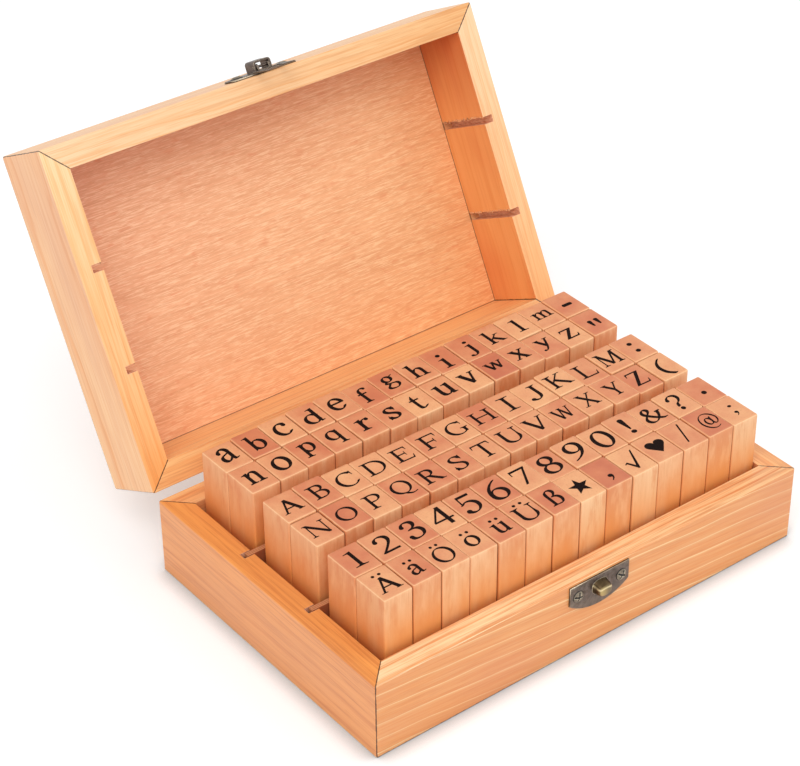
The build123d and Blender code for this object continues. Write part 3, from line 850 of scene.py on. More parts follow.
real = on_each_point(tree, given, block.outputs[0], turns.outputs["Attribute"])
worn_noise = add(
    tree,
    "ShaderNodeTexNoise",
    {"Vector": add(tree, "GeometryNodeInputPosition").outputs[0], "W": given["Seed"], "Scale": wear_scale},
    noise_dimensions="4D",
).outputs["Color"]
worn_offset = scaled(tree, vector_maths(tree, "SUBTRACT", worn_noise, (0.5, 0.5, 0.5)), given["Unevenness"])
worn = add(tree, "GeometryNodeSetPosition", {"Geometry": real, "Offset": worn_offset})
finished(tree, given, made, worn.outputs[0])


def points_mesh(name, group, middle):
    """One loose point for each stamp at a height, with the stamp's own turn, wood tone and seed."""
    mesh = bpy.data.meshes.new(name)
    mesh.from_pydata([s["place"] + Vector((0, 0, middle + s["lift"])) for s in group], [], [])
    for value, s in zip(mesh.attributes.new("turn", "FLOAT_VECTOR", "POINT").data, group):
        value.vector = (0, 0, s["turn"])
    for label in ("tone", "seed"):
        for value, s in zip(mesh.attributes.new(label, "FLOAT", "POINT").data, group):
            value.value = s[label]
    return mesh


def grown(name, mesh, tree, **inputs):
    """Run a Geometry Nodes tree on a mesh and keep the result as a plain mesh object."""
    seedling = placed(name, mesh)
    modifier = seedling.modifiers.new(tree.name, "NODES")
    modifier.node_group = tree
    sockets_in = [item for item in tree.interface.items_tree if item.in_out == "INPUT"]
    identifiers = {item.name: item.identifier for item in sockets_in}
    for label, value in inputs.items():
        modifier[identifiers[label.replace("_", " ")]] = value
    bpy.context.view_layer.update()
    evaluated = seedling.evaluated_get(bpy.context.evaluated_depsgraph_get())
    result_mesh = bpy.data.meshes.new_from_object(evaluated)
    bpy.data.objects.remove(seedling)
    result_mesh.name = name
    return placed(name, result_mesh)


# The blocks' hardwood. Each block has its own tone and its own place in the tree. The sides show fine
# upright threads, paler where hands rubbed them and darker in stains, and the top shows pores. Light and
# shade are painted on too: painted shade on the faces that look left and right and in the gaps between the
# blocks, painted light low on the sides, and a painted highlight along the rounded top edges.
hardwood, tree, shader = new_material("stamp_hardwood", 0.55)
where = add(tree, "ShaderNodeTexCoord").outputs
seed = add(tree, "ShaderNodeAttribute", {}, attribute_name="seed").outputs["Fac"]
tone = add(tree, "ShaderNodeAttribute", {}, attribute_name="tone").outputs["Fac"]
apart = add(tree, "ShaderNodeCombineXYZ", {"Z": maths(tree, "MULTIPLY", seed, 100.0)}).outputs[0]
here = vector_maths(tree, "ADD", millimetres(tree, where["Object"]), apart)
facing = split(tree, where["Normal"])
upright = maths(tree, "ABSOLUTE", facing["Z"])
on_end = maths(tree, "GREATER_THAN", upright, 0.8)
# Painted shade: the faces that look left or right are darker.
side_face_shade = ramp(tree, maths(tree, "ABSOLUTE", facing["X"]), (0.6, 0.0), (0.9, 0.5))
clouds = stretched_noise(tree, here, (0.12, 0.12, 0.02), detail=2.0)
pores = stretched_noise(tree, here, (1.6, 1.1, 0.15), detail=3.0, roughness=0.75)
threads = stretched_noise(tree, here, (3.0, 3.0, 0.07), detail=3.0, roughness=0.7)
rub_and_painted_light = stretched_noise(tree, here, (0.3, 0.3, 0.08), detail=3.0, roughness=0.6)
stained = maths(tree, "SUBTRACT", 1.0, rub_and_painted_light)
blush = maths(tree, "ADD", tone, maths(tree, "MULTIPLY_ADD", clouds, 0.9, -0.45))
# Painted light: the sides turn brighter and more orange towards their lower part, against the wall's shade.
painted_low_light = spread(tree, split(tree, where["Object"])["Z"], 0.056, 0.03)
painted_low_light = maths(tree, "MULTIPLY", painted_low_light, maths(tree, "MULTIPLY_ADD", clouds, 1.2, 0.3))
side_colour = ramp(tree, blush, (0.0, "F6C898"), (0.45, "F0B282"), (1.0, "DE8E5E"))
side_colour = mix(tree, ramp(tree, threads, (0.45, 0.0), (0.75, 0.35)), side_colour, "CC7E4C")
side_colour = mix(tree, ramp(tree, rub_and_painted_light, (0.5, 0.0), (0.68, 0.55)), side_colour, "FACA9C")
side_colour = mix(tree, ramp(tree, stained, (0.53, 0.0), (0.68, 0.5)), side_colour, "DE8450")
side_colour = mix(tree, painted_low_light, side_colour, "F09C54")
# Painted shade on the faces that look left or right.
side_colour = mix(tree, side_face_shade, side_colour, "E4BEA4", blend_type="MULTIPLY")
top_colour = ramp(tree, blush, (0.0, "E9AA78"), (0.4, "DC9266"), (0.75, "CE7650"), (1.0, "C26646"))
top_colour = mix(tree, ramp(tree, pores, (0.5, 0.0), (0.8, 0.45)), top_colour, "BC6A40")
wood = mix(tree, on_end, side_colour, top_colour)
# The rounded top edges are paler: partly rubbed, partly a painted highlight.
from_corner = maths(tree, "ABSOLUTE", maths(tree, "MULTIPLY_ADD", upright, 2.6, -1.7))
edge_rub_and_highlight = maths(tree, "MAXIMUM", maths(tree, "SUBTRACT", 1.0, from_corner), 0.0)
wood = mix(tree, maths(tree, "MULTIPLY", edge_rub_and_highlight, 0.45), wood, "FBD3A2")
# Painted shade: dark brown in the narrow gaps between the blocks, by ambient occlusion.
gap_shade = add(tree, "ShaderNodeAmbientOcclusion", {"Distance": 0.0012}, samples=8).outputs["AO"]
wood = mix(tree, ramp(tree, gap_shade, (0.2, 0.6), (0.55, 0.0)), wood, "8C441E")
tree.links.new(wood, shader.inputs["Base Color"])
bumped(tree, shader, mix(tree, on_end, threads, pores), 0.35, 0.00012)

for node, die_node, body_name, group in stamp_groups:
    blocks = grown(
        node + "_blocks", points_mesh(node, group, stamp_top - block_size.z / 2), block_tree,
        Size=block_size, Corner=block_corner, Unevenness=uneven_edge, Material=hardwood,
    )
    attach(blocks, body_name)
    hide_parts(node)


# The printed signs. Plain old-style letters of our own drawing, in black ink on the tops. Every stroke is
# drawn as with a broad pen held at a slant, so upright strokes are thick and level ones thin.
# The drawing unit is a seventh of a capital's height; y is 0 on the line that the letters stand on.
pen_long = 0.56
pen_short = 0.19
pen_slant = radians(17)
cap = 7.0
low = 4.6
deep = -2.3
slab = 0.3


def pen_reach(x, y, weight=1.0):
    """How far the pen's outline reaches from its centre in a direction."""
    along = x * cos(pen_slant) + y * sin(pen_slant)
    up = y * cos(pen_slant) - x * sin(pen_slant)
    size = hypot(pen_long * along, pen_short * up) or 1.0
    p = pen_long ** 2 * along / size
    q = pen_short ** 2 * up / size
    level = p * cos(pen_slant) - q * sin(pen_slant)
    upright = p * sin(pen_slant) + q * cos(pen_slant)
    return weight * level, weight * upright


def hull(points):
    """The convex outline round some points, turning left."""
    points = sorted(set(points))
    sides = []
    for run in (points, points[::-1]):
        side = []
        for p in run:
            while len(side) > 1 and (
                (side[-1][0] - side[-2][0]) * (p[1] - side[-2][1])
                <= (side[-1][1] - side[-2][1]) * (p[0] - side[-2][0])
            ):
                side.pop()
            side.append(p)
        sides += side[:-1]
    return sides


def stroke(*points, weight=1.0):
    """The pen drawn along a run of points, as a chain of overlapping outlines."""
    pen = [pen_reach(cos(t), sin(t), weight) for t in (radians(18 * k) for k in range(20))]
    stops = [[(x + a, y + b) for a, b in pen] for x, y in points]
    return [hull(here + there) for here, there in zip(stops, stops[1:])]


def arc(x, y, rx, ry, start, end):
    """Points on an ellipse about x, y from one angle to another, in degrees."""
    steps = max(2, ceil(abs(end - start) / 12))
    angles = [radians(start + (end - start) * i / steps) for i in range(steps + 1)]
    return [(x + rx * cos(t), y + ry * sin(t)) for t in angles]


def between(p, q, r, s, t):
    """A value on the smooth line from q to r that comes from p and goes on to s."""
    bent = (2 * p - 5 * q + 4 * r - s) * t * t
    twisted = (3 * q - p - 3 * r + s) * t ** 3
    return 0.5 * (2 * q + (r - p) * t + bent + twisted)


def curve(*points):
    """A smooth run of points through the given ones."""
    padded = [points[0], *points, points[-1]]
    smooth = []
    steps = 5
    for a, b, c, d in zip(padded, padded[1:], padded[2:], padded[3:]):
        for step in range(steps):
            smooth.append(tuple(between(*four, step / steps) for four in zip(a, b, c, d)))
    return smooth + [points[-1]]


def sweep(*points, weight=1.0):
    """The pen drawn along a smooth run through some points."""
    return stroke(*curve(*points), weight=weight)


def bow(x, y, rx, ry, start, end, weight=1.0):
    """The pen drawn round part of an ellipse."""
    return stroke(*arc(x, y, rx, ry, start, end), weight=weight)


def ring(x, y, rx, ry, weight=1.0):
    """A closed round."""
    return bow(x, y, rx, ry, 0, 360, weight=weight)


def shape(*points):
    """A filled outline."""
    area = sum(p[0] * q[1] - q[0] * p[1] for p, q in zip(points, points[1:] + points[:1]))
    return [list(points) if area > 0 else list(points)[::-1]]


def dot(x, y, r=0.6):
    """A round dot."""
    return shape(*arc(x, y, r, r, 0, 345))


def stem(x, bottom, top, half=0.5):
    """A thick upright."""
    return shape((x - half, bottom), (x + half, bottom), (x + half, top), (x - half, top))


def foot(x, y, half=0.5, left=0.75, right=0.75, up=1):
    """A bracketed serif across the end of a stem. Up is 1 at a foot and -1 at a head."""
    rise = 0.55 * up
    thin = slab * up
    points = [(x - half - left, y), (x + half + right, y)]
    if right:
        points += [
            (x + half + right, y + thin),
            (x + half + 0.42 * right, y + thin * 1.3),
            (x + half + 0.1 * right, y + thin + 0.45 * rise),
        ]
    points += [(x + half, y + thin + rise), (x - half, y + thin + rise)]
    if left:
        points += [
            (x - half - 0.1 * left, y + thin + 0.45 * rise),
            (x - half - 0.42 * left, y + thin * 1.3),
            (x - half - left, y + thin),
        ]
    return shape(*points)


def flag(x, top, half=0.5, reach=0.85):
    """The slanted serif at the top left of a small letter's stem."""
    return shape(
        (x + half, top - 0.9), (x + half, top + 0.1), (x - half - reach, top - 0.42),
        (x - half - reach, top - 0.62), (x - half - 0.25, top - 0.62), (x - half, top - 0.9),
    )


def beak(x, y, length, lean=0.0, wide=0.42):
    """The wedge that hangs from or stands on the end of an arm. A negative length hangs."""
    return shape((x - wide, y), (x + 0.16, y), (x + 0.2 + lean, y + length), (x + lean, y + length))


def hair(x0, x1, y, thin=0.27):
    """A thin level stroke."""
    return shape((x0, y - thin), (x1, y - thin), (x1, y + thin), (x0, y + thin))


def full_stem(x, top=cap, half=0.5, reach=0.95):
    """A capital's stem with its two serifs."""
    return stem(x, 0, top, half) + foot(x, 0, half, reach, reach) + foot(x, top, half, reach, reach, up=-1)


def bar(x0, x1, y, up=1):
    """The plain serif at the end of a slanted stroke."""
    return shape((x0, y), (x1, y), (x1, y + slab * up), (x0, y + slab * up))


def umlaut(x, y):
    """Two dots side by side."""
    return dot(x - 1.05, y, 0.52) + dot(x + 1.05, y, 0.52)


def small_bowl(x, side):
    """The round of b, p, d or q, to the right (1) or the left (-1) of its stem."""
    if side > 0:
        return bow(x + 1.55, 2.3, 1.65, 2.2, 152, -152)
    return bow(x - 1.45, 2.3, 1.75, 2.2, 28, 332)


def small_arch(x, width=2.5):
    """The arch of n, from one stem over to the next."""
    right = x + width
    return sweep((x + 0.2, 3.1), (x + 0.75, 3.95), (x + 1.55, 4.4), (right - 0.25, 4.0), (right, 3.0))


capital_a = (
    stroke((0.95, 0.2), (3.35, 6.7), weight=0.72) + stroke((3.3, 6.75), (5.85, 0.2), weight=1.12)
    + hair(1.75, 4.9, 2.35) + bar(-0.05, 1.85, 0) + bar(4.85, 7.0, 0)
)
small_a = (
    stem(3.35, 0.7, 3.3) + bow(2.15, 3.05, 1.25, 1.4, 8, 160) + dot(0.98, 3.45, 0.55)
    + sweep((3.2, 2.75), (2.2, 2.45), (1.0, 1.95), (0.72, 1.15), (1.1, 0.35), (1.95, 0.2), (3.2, 1.15))
    + sweep((3.35, 0.9), (3.65, 0.25), (4.3, 0.35), weight=0.8)
)
capital_o = ring(3.6, 3.5, 3.05, 3.35)
small_o = ring(2.45, 2.3, 1.85, 2.15)
capital_u = (
    stem(1.25, 2.2, cap) + bow(3.5, 2.35, 2.25, 2.1, 178, 350) + stem(5.75, 2.2, cap, 0.22)
    + shape((5.25, 2.0), (6.25, 2.2), (5.97, 4.2), (5.53, 4.2)) + foot(1.25, cap, 0.5, up=-1)
    + foot(5.75, cap, 0.22, up=-1)
)
small_u = (
    stem(1.25, 1.2, 4.3) + flag(1.25, 4.6) + flag(3.95, 4.6) + stem(3.95, 0, 4.3)
    + sweep((1.25, 1.5), (1.6, 0.5), (2.4, 0.22), (3.3, 0.55), (3.95, 1.3))
    + shape((3.95, 0), (5.0, 0.12), (5.0, 0.35), (4.45, 0.55), (3.95, 0.6))
)
small_comma = (
    dot(0.8, 0.62, 0.62)
    + shape(
        (1.35, 0.85), (1.42, 0.3), (1.1, -0.6), (0.3, -1.35), (0.15, -1.15), (0.7, -0.55), (0.85, 0.0),
        (0.5, 0.2),
    )
)
glyphs = {
    "A": capital_a,
    "B": (
        full_stem(1.5) + hair(1.5, 3.3, 6.79) + bow(3.2, 5.3, 1.65, 1.48, 90, -90) + hair(1.5, 3.5, 3.8)
        + bow(3.4, 1.98, 2.0, 1.78, 90, -90) + hair(1.5, 3.5, 0.21)
    ),
    "C": bow(3.7, 3.5, 3.1, 3.35, 48, 320) + beak(6.1, 6.75, -2.0),
    "D": full_stem(1.5) + hair(1.5, 3.5, 6.79) + bow(3.4, 3.5, 3.6, 3.3, 90, -90) + hair(1.5, 3.5, 0.21),
    "E": (
        full_stem(1.5) + hair(1.5, 5.9, 6.79) + beak(5.8, 7, -1.7) + hair(1.5, 4.55, 3.65)
        + beak(4.5, 3.6, 1.15, wide=0.25) + beak(4.5, 3.7, -1.2, wide=0.25) + hair(1.5, 6.1, 0.21)
        + beak(5.95, 0, 1.85, lean=0.4)
    ),
    "F": (
        full_stem(1.5) + hair(1.5, 5.9, 6.79) + beak(5.8, 7, -1.8) + hair(1.5, 4.55, 3.5)
        + beak(4.5, 3.45, 1.15, wide=0.25) + beak(4.5, 3.55, -1.2, wide=0.25)
    ),
    "G": (
        bow(3.7, 3.5, 3.1, 3.35, 50, 300) + beak(6.0, 6.8, -1.9) + stem(5.9, 0.65, 2.9)
        + foot(5.9, 3.05, up=-1) + stroke((5.0, 0.35), (5.9, 0.8), weight=0.8)
    ),
    "H": full_stem(1.5) + full_stem(6.9) + hair(1.5, 6.9, 3.65),
    "I": full_stem(1.8, reach=1.4),
    "J": (
        stem(3.7, 1.4, cap) + foot(3.7, cap, up=-1) + dot(0.85, 0.45, 0.68)
        + sweep((3.7, 1.6), (3.3, 0.25), (2.2, -0.4), (1.1, 0.0))
    ),
    "K": (
        full_stem(1.3) + stroke((1.75, 3.15), (5.2, 6.8), weight=0.75)
        + stroke((2.7, 4.2), (6.2, 0.15), weight=1.12) + bar(4.25, 6.3, cap, -1) + bar(5.4, 7.4, 0)
    ),
    "L": full_stem(1.5, reach=1.05) + hair(1.5, 6.1, 0.21) + beak(6.0, 0, 2.0, lean=0.4),
    "M": (
        stem(1.4, 0, cap, 0.22) + foot(1.4, 0, 0.22) + foot(1.3, cap, 0.2, right=0.0, up=-1)
        + stroke((1.55, 6.7), (4.25, 0.5), weight=1.1) + stroke((4.25, 0.5), (6.9, 6.7), weight=0.72)
        + stem(7.1, 0, cap) + foot(7.1, 0) + foot(7.1, cap, left=0.0, up=-1)
    ),
    "N": (
        stem(1.4, 0, cap, 0.22) + foot(1.4, 0, 0.22) + stroke((1.35, 6.7), (6.8, 0.3), weight=1.1)
        + foot(1.2, cap, 0.2, right=0.0, up=-1) + stem(6.95, 0, cap, 0.22) + foot(6.95, cap, 0.22, up=-1)
    ),
    "O": capital_o,
    "P": (
        full_stem(1.5) + hair(1.5, 3.3, 6.79) + bow(3.2, 5.1, 2.0, 1.68, 90, -90) + hair(1.5, 3.3, 3.42)
    ),
    "Q": capital_o + sweep((3.5, 0.1), (4.3, -0.55), (5.5, -1.05), (6.9, -0.75), weight=0.95),
    "R": (
        full_stem(1.3) + hair(1.3, 3.0, 6.79) + bow(2.95, 5.2, 1.7, 1.58, 90, -90) + hair(1.3, 3.1, 3.62)
        + stroke((2.9, 3.6), (5.8, 0.2), weight=1.1) + bar(5.5, 7.1, 0)
    ),
    "S": (
        sweep(
            (4.5, 5.75), (3.9, 6.55), (2.85, 6.8), (1.6, 6.45), (1.15, 5.5), (1.65, 4.5), (2.9, 3.75),
            (4.2, 3.05), (4.8, 1.95), (4.35, 0.75), (3.0, 0.22), (1.75, 0.45), (0.95, 1.35),
        )
        + shape((3.7, 6.5), (4.6, 6.95), (4.95, 6.95), (4.9, 4.9), (4.65, 4.9), (4.3, 5.5))
        + shape((0.65, 0.1), (1.0, 0.1), (1.8, 0.6), (1.2, 1.6), (0.95, 2.2), (0.7, 2.2))
    ),
    "T": (
        stem(3.3, 0, cap) + foot(3.3, 0, 0.5, 0.95, 0.95) + hair(0.45, 6.15, 6.79)
        + beak(6.2, 7, -1.75, lean=0.1) + shape((0.85, 7), (0.25, 7), (0.05, 5.25), (0.25, 5.25))
    ),
    "U": capital_u,
    "V": (
        stroke((1.05, 6.8), (3.8, 0.35), weight=1.12) + stroke((3.8, 0.35), (6.3, 6.8), weight=0.72)
        + bar(-0.05, 2.1, cap, -1) + bar(5.3, 7.4, cap, -1)
    ),
    "W": (
        stroke((1.05, 6.8), (3.0, 0.35), weight=1.05) + stroke((3.0, 0.35), (4.75, 6.8), weight=0.65)
        + stroke((4.6, 6.8), (6.5, 0.35), weight=1.05) + stroke((6.5, 0.35), (8.2, 6.8), weight=0.65)
        + bar(-0.05, 2.0, cap, -1) + bar(3.7, 5.5, cap, -1) + bar(7.3, 9.2, cap, -1)
    ),
    "X": (
        stroke((1.2, 6.7), (5.7, 0.3), weight=1.12) + stroke((5.4, 6.7), (1.2, 0.3), weight=0.72)
        + bar(0.1, 2.3, cap, -1) + bar(4.45, 6.5, cap, -1) + bar(0.1, 2.1, 0) + bar(4.6, 6.9, 0)
    ),
    "Y": (
        stroke((1.05, 6.8), (3.3, 3.2), weight=1.12) + stroke((5.5, 6.8), (3.4, 3.2), weight=0.75)
        + stem(3.35, 0, 3.4) + foot(3.35, 0) + bar(0.0, 2.15, cap, -1) + bar(4.65, 6.6, cap, -1)
    ),
    "Z": (
        shape((0.55, 0), (1.75, 0), (5.45, 7), (4.25, 7)) + hair(1.0, 5.2, 6.79) + hair(0.8, 5.4, 0.21)
        + shape((1.35, 7), (0.8, 7), (0.6, 5.3), (0.8, 5.3)) + beak(5.3, 0, 1.8, lean=0.3)
    ),
    "a": small_a,
    "b": (
        stem(1.25, 0.4, 6.9) + flag(1.25, 7.15) + small_bowl(1.25, 1)
        + shape((0.75, 0.6), (0.75, -0.25), (1.6, 0.5))
    ),
    "c": bow(2.5, 2.3, 1.85, 2.15, 55, 318) + dot(3.55, 3.65, 0.58),
    "d": (
        small_bowl(4.0, -1) + stem(4.0, 0.3, 6.9) + flag(4.0, 7.15)
        + shape((3.9, -0.1), (5.05, 0.2), (5.05, 0.45), (4.5, 0.55), (3.9, 0.8))
    ),
    "e": bow(2.45, 2.3, 1.85, 2.15, 8, 322) + hair(0.8, 4.7, 2.62),
    "f": (
        stem(1.7, 0, 5.6) + foot(1.7, 0) + bow(2.95, 5.55, 1.25, 1.35, 182, 62) + dot(3.75, 6.45, 0.5)
        + hair(0.55, 3.4, 4.4)
    ),
    "g": (
        ring(2.3, 3.05, 1.35, 1.35) + stroke((3.3, 3.9), (4.5, 4.45), weight=0.85)
        + sweep(
            (1.5, 1.9), (0.95, 1.25), (1.5, 0.85), (2.9, 0.7), (4.15, 0.35), (4.35, -0.7), (3.5, -1.65),
            (2.2, -1.85), (0.95, -1.5), (0.75, -0.75), (1.4, -0.05), (2.0, 0.75),
        )
    ),
    "h": (
        stem(1.25, 0, 6.9) + flag(1.25, 7.15) + foot(1.25, 0) + small_arch(1.25, 2.75)
        + stem(4.0, 0, 3.1) + foot(4.0, 0)
    ),
    "i": stem(1.4, 0, 4.3) + flag(1.4, 4.6) + foot(1.4, 0) + dot(1.25, 6.3, 0.65),
    "j": (
        stem(2.2, -0.9, 4.3) + flag(2.2, 4.6) + dot(2.1, 6.3, 0.65) + dot(0.15, -1.7, 0.55)
        + sweep((2.2, -0.8), (1.8, -1.75), (1.1, -2.15), (0.3, -1.95), weight=0.9)
    ),
    "k": (
        stem(1.25, 0, 6.9) + flag(1.25, 7.15) + foot(1.25, 0)
        + stroke((1.7, 2.15), (4.0, 4.4), weight=0.75) + stroke((2.4, 2.9), (4.6, 0.2), weight=1.05)
        + bar(3.2, 4.95, low, -1) + bar(4.0, 5.6, 0)
    ),
    "l": stem(1.7, 0, 6.9) + flag(1.7, 7.15, reach=1.05) + foot(1.7, 0, 0.5, 1.0, 1.0),
    "m": (
        stem(1.25, 0, 4.3) + flag(1.25, 4.6) + foot(1.25, 0) + small_arch(1.25, 2.6) + stem(3.85, 0, 3.1)
        + foot(3.85, 0, left=0.6, right=0.6) + small_arch(3.85, 2.6) + stem(6.45, 0, 3.1) + foot(6.45, 0)
    ),
    "n": (
        stem(1.25, 0, 4.3) + flag(1.25, 4.6) + foot(1.25, 0) + small_arch(1.25, 2.75) + stem(4.0, 0, 3.1)
        + foot(4.0, 0)
    ),
    "o": small_o,
    "p": stem(1.25, deep, 4.3) + flag(1.25, 4.6) + foot(1.25, deep) + small_bowl(1.25, 1),
    "q": (
        small_bowl(4.0, -1) + stem(4.0, deep, 4.5) + foot(4.0, deep)
        + shape((3.5, 3.9), (4.5, 4.75), (4.5, 3.9))
    ),
    "r": (
        stem(1.4, 0, 4.3) + flag(1.4, 4.6) + foot(1.4, 0) + sweep((1.5, 2.9), (2.1, 3.9), (3.3, 4.25))
        + dot(3.5, 3.9, 0.55)
    ),
    "s": (
        sweep(
            (3.5, 3.75), (3.0, 4.25), (2.2, 4.4), (1.3, 4.1), (1.05, 3.45), (1.6, 2.75), (2.6, 2.25),
            (3.5, 1.65), (3.65, 0.95), (3.1, 0.35), (2.2, 0.2), (1.35, 0.45), (0.85, 1.0),
        )
        + shape((2.9, 4.3), (3.55, 4.6), (3.85, 4.6), (3.8, 3.1), (3.55, 3.1), (3.3, 3.5))
        + shape((0.55, 0.0), (0.85, 0.0), (1.4, 0.45), (1.05, 1.1), (0.85, 1.65), (0.6, 1.65))
    ),
    "t": (
        stem(1.7, 1.0, 5.3) + shape((1.2, 5.2), (2.2, 5.2), (2.2, 6.5)) + hair(0.45, 3.5, 4.4)
        + sweep((1.7, 1.3), (2.0, 0.4), (2.8, 0.25), (3.7, 0.75))
    ),
    "u": small_u,
    "v": (
        stroke((1.05, 4.4), (2.8, 0.35), weight=1.08) + stroke((2.8, 0.35), (4.35, 4.4), weight=0.72)
        + bar(0.05, 1.95, low, -1) + bar(3.5, 5.25, low, -1)
    ),
    "w": (
        stroke((1.0, 4.4), (2.5, 0.35), weight=1.0) + stroke((2.5, 0.35), (3.8, 4.4), weight=0.68)
        + stroke((3.8, 4.4), (5.25, 0.35), weight=1.0) + stroke((5.25, 0.35), (6.55, 4.4), weight=0.68)
        + bar(0.05, 1.8, low, -1) + bar(3.0, 4.5, low, -1) + bar(5.8, 7.3, low, -1)
    ),
    "x": (
        stroke((1.15, 4.35), (4.1, 0.25), weight=1.08) + stroke((3.95, 4.35), (1.15, 0.25), weight=0.72)
        + bar(0.2, 2.05, low, -1) + bar(3.2, 4.85, low, -1) + bar(0.25, 1.9, 0) + bar(3.2, 5.1, 0)
    ),
    "y": (
        stroke((1.1, 4.4), (2.95, 0.4), weight=1.08)
        + sweep((4.5, 4.4), (3.0, 0.4), (2.2, -1.1), (1.5, -1.85), (0.9, -1.9), weight=0.8)
        + dot(0.85, -1.7, 0.48) + bar(0.1, 2.0, low, -1) + bar(3.65, 5.4, low, -1)
    ),
    "z": (
        shape((0.5, 0), (1.6, 0), (4.6, 4.6), (3.5, 4.6)) + hair(0.9, 4.4, 4.39) + hair(0.7, 4.5, 0.21)
        + shape((1.15, 4.6), (0.7, 4.6), (0.55, 3.4), (0.75, 3.4)) + beak(4.45, 0, 1.35, lean=0.2)
    ),
    "1": stem(2.2, 0, 6.6) + foot(2.2, 0, 0.5, 1.4, 1.4) + flag(2.2, 7.0, reach=1.3),
    "2": (
        dot(1.05, 5.3, 0.6)
        + sweep(
            (0.95, 5.5), (1.5, 6.5), (2.7, 6.85), (3.95, 6.3), (4.35, 5.0), (3.8, 3.6), (2.4, 2.0),
            (0.75, 0.4),
        )
        + shape((0.45, 0), (5.1, 0), (5.1, 0.75), (0.9, 0.75))
    ),
    "3": (
        dot(0.95, 5.55, 0.58) + dot(0.9, 1.25, 0.6)
        + sweep((0.9, 5.75), (1.5, 6.6), (2.5, 6.85), (3.6, 6.45), (3.9, 5.4), (3.3, 4.35), (2.0, 3.85))
        + sweep(
            (2.0, 3.85), (3.6, 3.7), (4.4, 2.9), (4.55, 1.8), (4.0, 0.7), (2.7, 0.15), (1.4, 0.3),
            (0.95, 0.9),
        )
    ),
    "4": (
        stem(3.85, -0.2, 7.1) + hair(0.4, 5.3, 1.95, 0.3)
        + shape((0.35, 1.65), (0.95, 2.25), (4.2, 7.1), (3.6, 7.1), (0.35, 2.2))
    ),
    "5": (
        shape((1.2, 6.2), (4.6, 6.2), (4.75, 7.0), (1.2, 7.0))
        + shape((1.2, 7.0), (1.6, 7.0), (1.35, 3.7), (0.95, 3.7))
        + sweep(
            (1.15, 3.75), (2.2, 4.35), (3.6, 4.1), (4.5, 3.0), (4.4, 1.5), (3.4, 0.4), (2.0, 0.15),
            (0.85, 0.8),
        )
        + dot(1.0, 1.0, 0.7)
    ),
    "6": sweep((4.3, 7.1), (2.9, 6.2), (1.7, 4.9), (1.1, 3.4), (1.05, 2.2)) + ring(2.9, 2.2, 1.9, 2.0),
    "7": (
        shape((0.6, 6.25), (5.2, 6.25), (5.5, 7.0), (0.6, 7.0))
        + shape((0.6, 7.0), (0.95, 7.0), (0.75, 5.0), (0.45, 5.0))
        + shape((4.65, 6.6), (5.5, 7.0), (2.1, 0.1), (1.3, 0.1))
    ),
    "8": ring(2.75, 5.25, 1.6, 1.55) + ring(2.75, 1.9, 1.95, 1.75),
    "9": (
        ring(2.6, 4.8, 1.85, 2.0) + sweep((4.45, 4.8), (4.3, 3.4), (3.5, 1.8), (2.3, 0.7), (0.95, -0.05))
    ),
    "0": ring(2.9, 3.5, 2.05, 3.4),
    "-": shape(*arc(0.5, 0.5, 0.5, 0.55, 90, 270), *arc(3.2, 0.5, 0.5, 0.55, -90, 90)),
    "\"": (
        shape(
            *arc(0.75, 3.0, 0.6, 0.6, 0, 180), (0.5, 0.1), *arc(0.75, 0.1, 0.2, 0.2, 200, 340),
            (1.0, 0.1),
        )
        + shape(
            *arc(2.75, 3.0, 0.6, 0.6, 0, 180), (2.5, 0.1), *arc(2.75, 0.1, 0.2, 0.2, 200, 340),
            (3.0, 0.1),
        )
    ),
    ":": dot(0.8, 0.8, 0.8) + dot(0.8, 5.0, 0.8),
    "(": sweep((2.9, 8.4), (1.5, 7.0), (0.75, 5.2), (0.7, 3.4), (1.2, 1.6), (2.5, 0.1), (2.9, -0.1)),
    "!": (
        shape(
            *arc(0.8, 6.7, 0.75, 0.75, 0, 180), (0.55, 2.2), *arc(0.8, 2.2, 0.2, 0.2, 200, 340),
            (1.05, 2.2),
        )
        + dot(0.8, 0.7, 0.75)
    ),
    "&": (
        sweep(
            (5.2, 0.5), (3.6, 1.9), (1.9, 4.2), (1.55, 5.5), (2.1, 6.6), (3.0, 6.75), (3.6, 5.9),
            (3.2, 4.9), (1.9, 3.7), (0.9, 2.6), (0.75, 1.4), (1.5, 0.35), (2.8, 0.25), (4.2, 1.2),
            (5.3, 2.9), (5.6, 4.0),
        )
        + stroke((4.7, 0.9), (5.7, 0.25), weight=0.9) + hair(4.9, 6.6, 4.2)
        + shape((5.2, 0), (6.7, 0.3), (6.7, 0.5), (5.4, 0.7))
    ),
    "?": (
        dot(0.95, 5.55, 0.6) + dot(2.3, 0.7, 0.72)
        + sweep(
            (0.9, 5.8), (1.6, 6.7), (2.8, 7.0), (4.0, 6.4), (4.3, 5.1), (3.6, 3.9), (2.5, 3.2),
            (2.15, 2.0),
        )
    ),
    ".": dot(0.8, 0.8, 0.8),
    "Ä": capital_a + umlaut(3.3, 8.3),
    "ä": small_a + umlaut(2.3, 6.2),
    "Ö": capital_o + umlaut(3.6, 8.3),
    "ö": small_o + umlaut(2.45, 6.2),
    "ü": small_u + umlaut(2.7, 6.2),
    "Ü": capital_u + umlaut(3.5, 8.3),
    "ß": (
        stem(1.35, 0, 5.2) + foot(1.35, 0)
        + sweep((1.35, 4.9), (1.6, 6.2), (2.6, 6.9), (3.7, 6.6), (4.1, 5.6), (3.7, 4.7), (3.0, 4.0))
        + sweep((2.7, 4.0), (3.9, 3.6), (4.5, 2.6), (4.5, 1.5), (4.0, 0.5), (3.2, 0.2))
        + shape((2.3, 0.0), (3.4, 0.0), (3.4, 0.45), (2.6, 0.45), (2.3, 0.3))
    ),
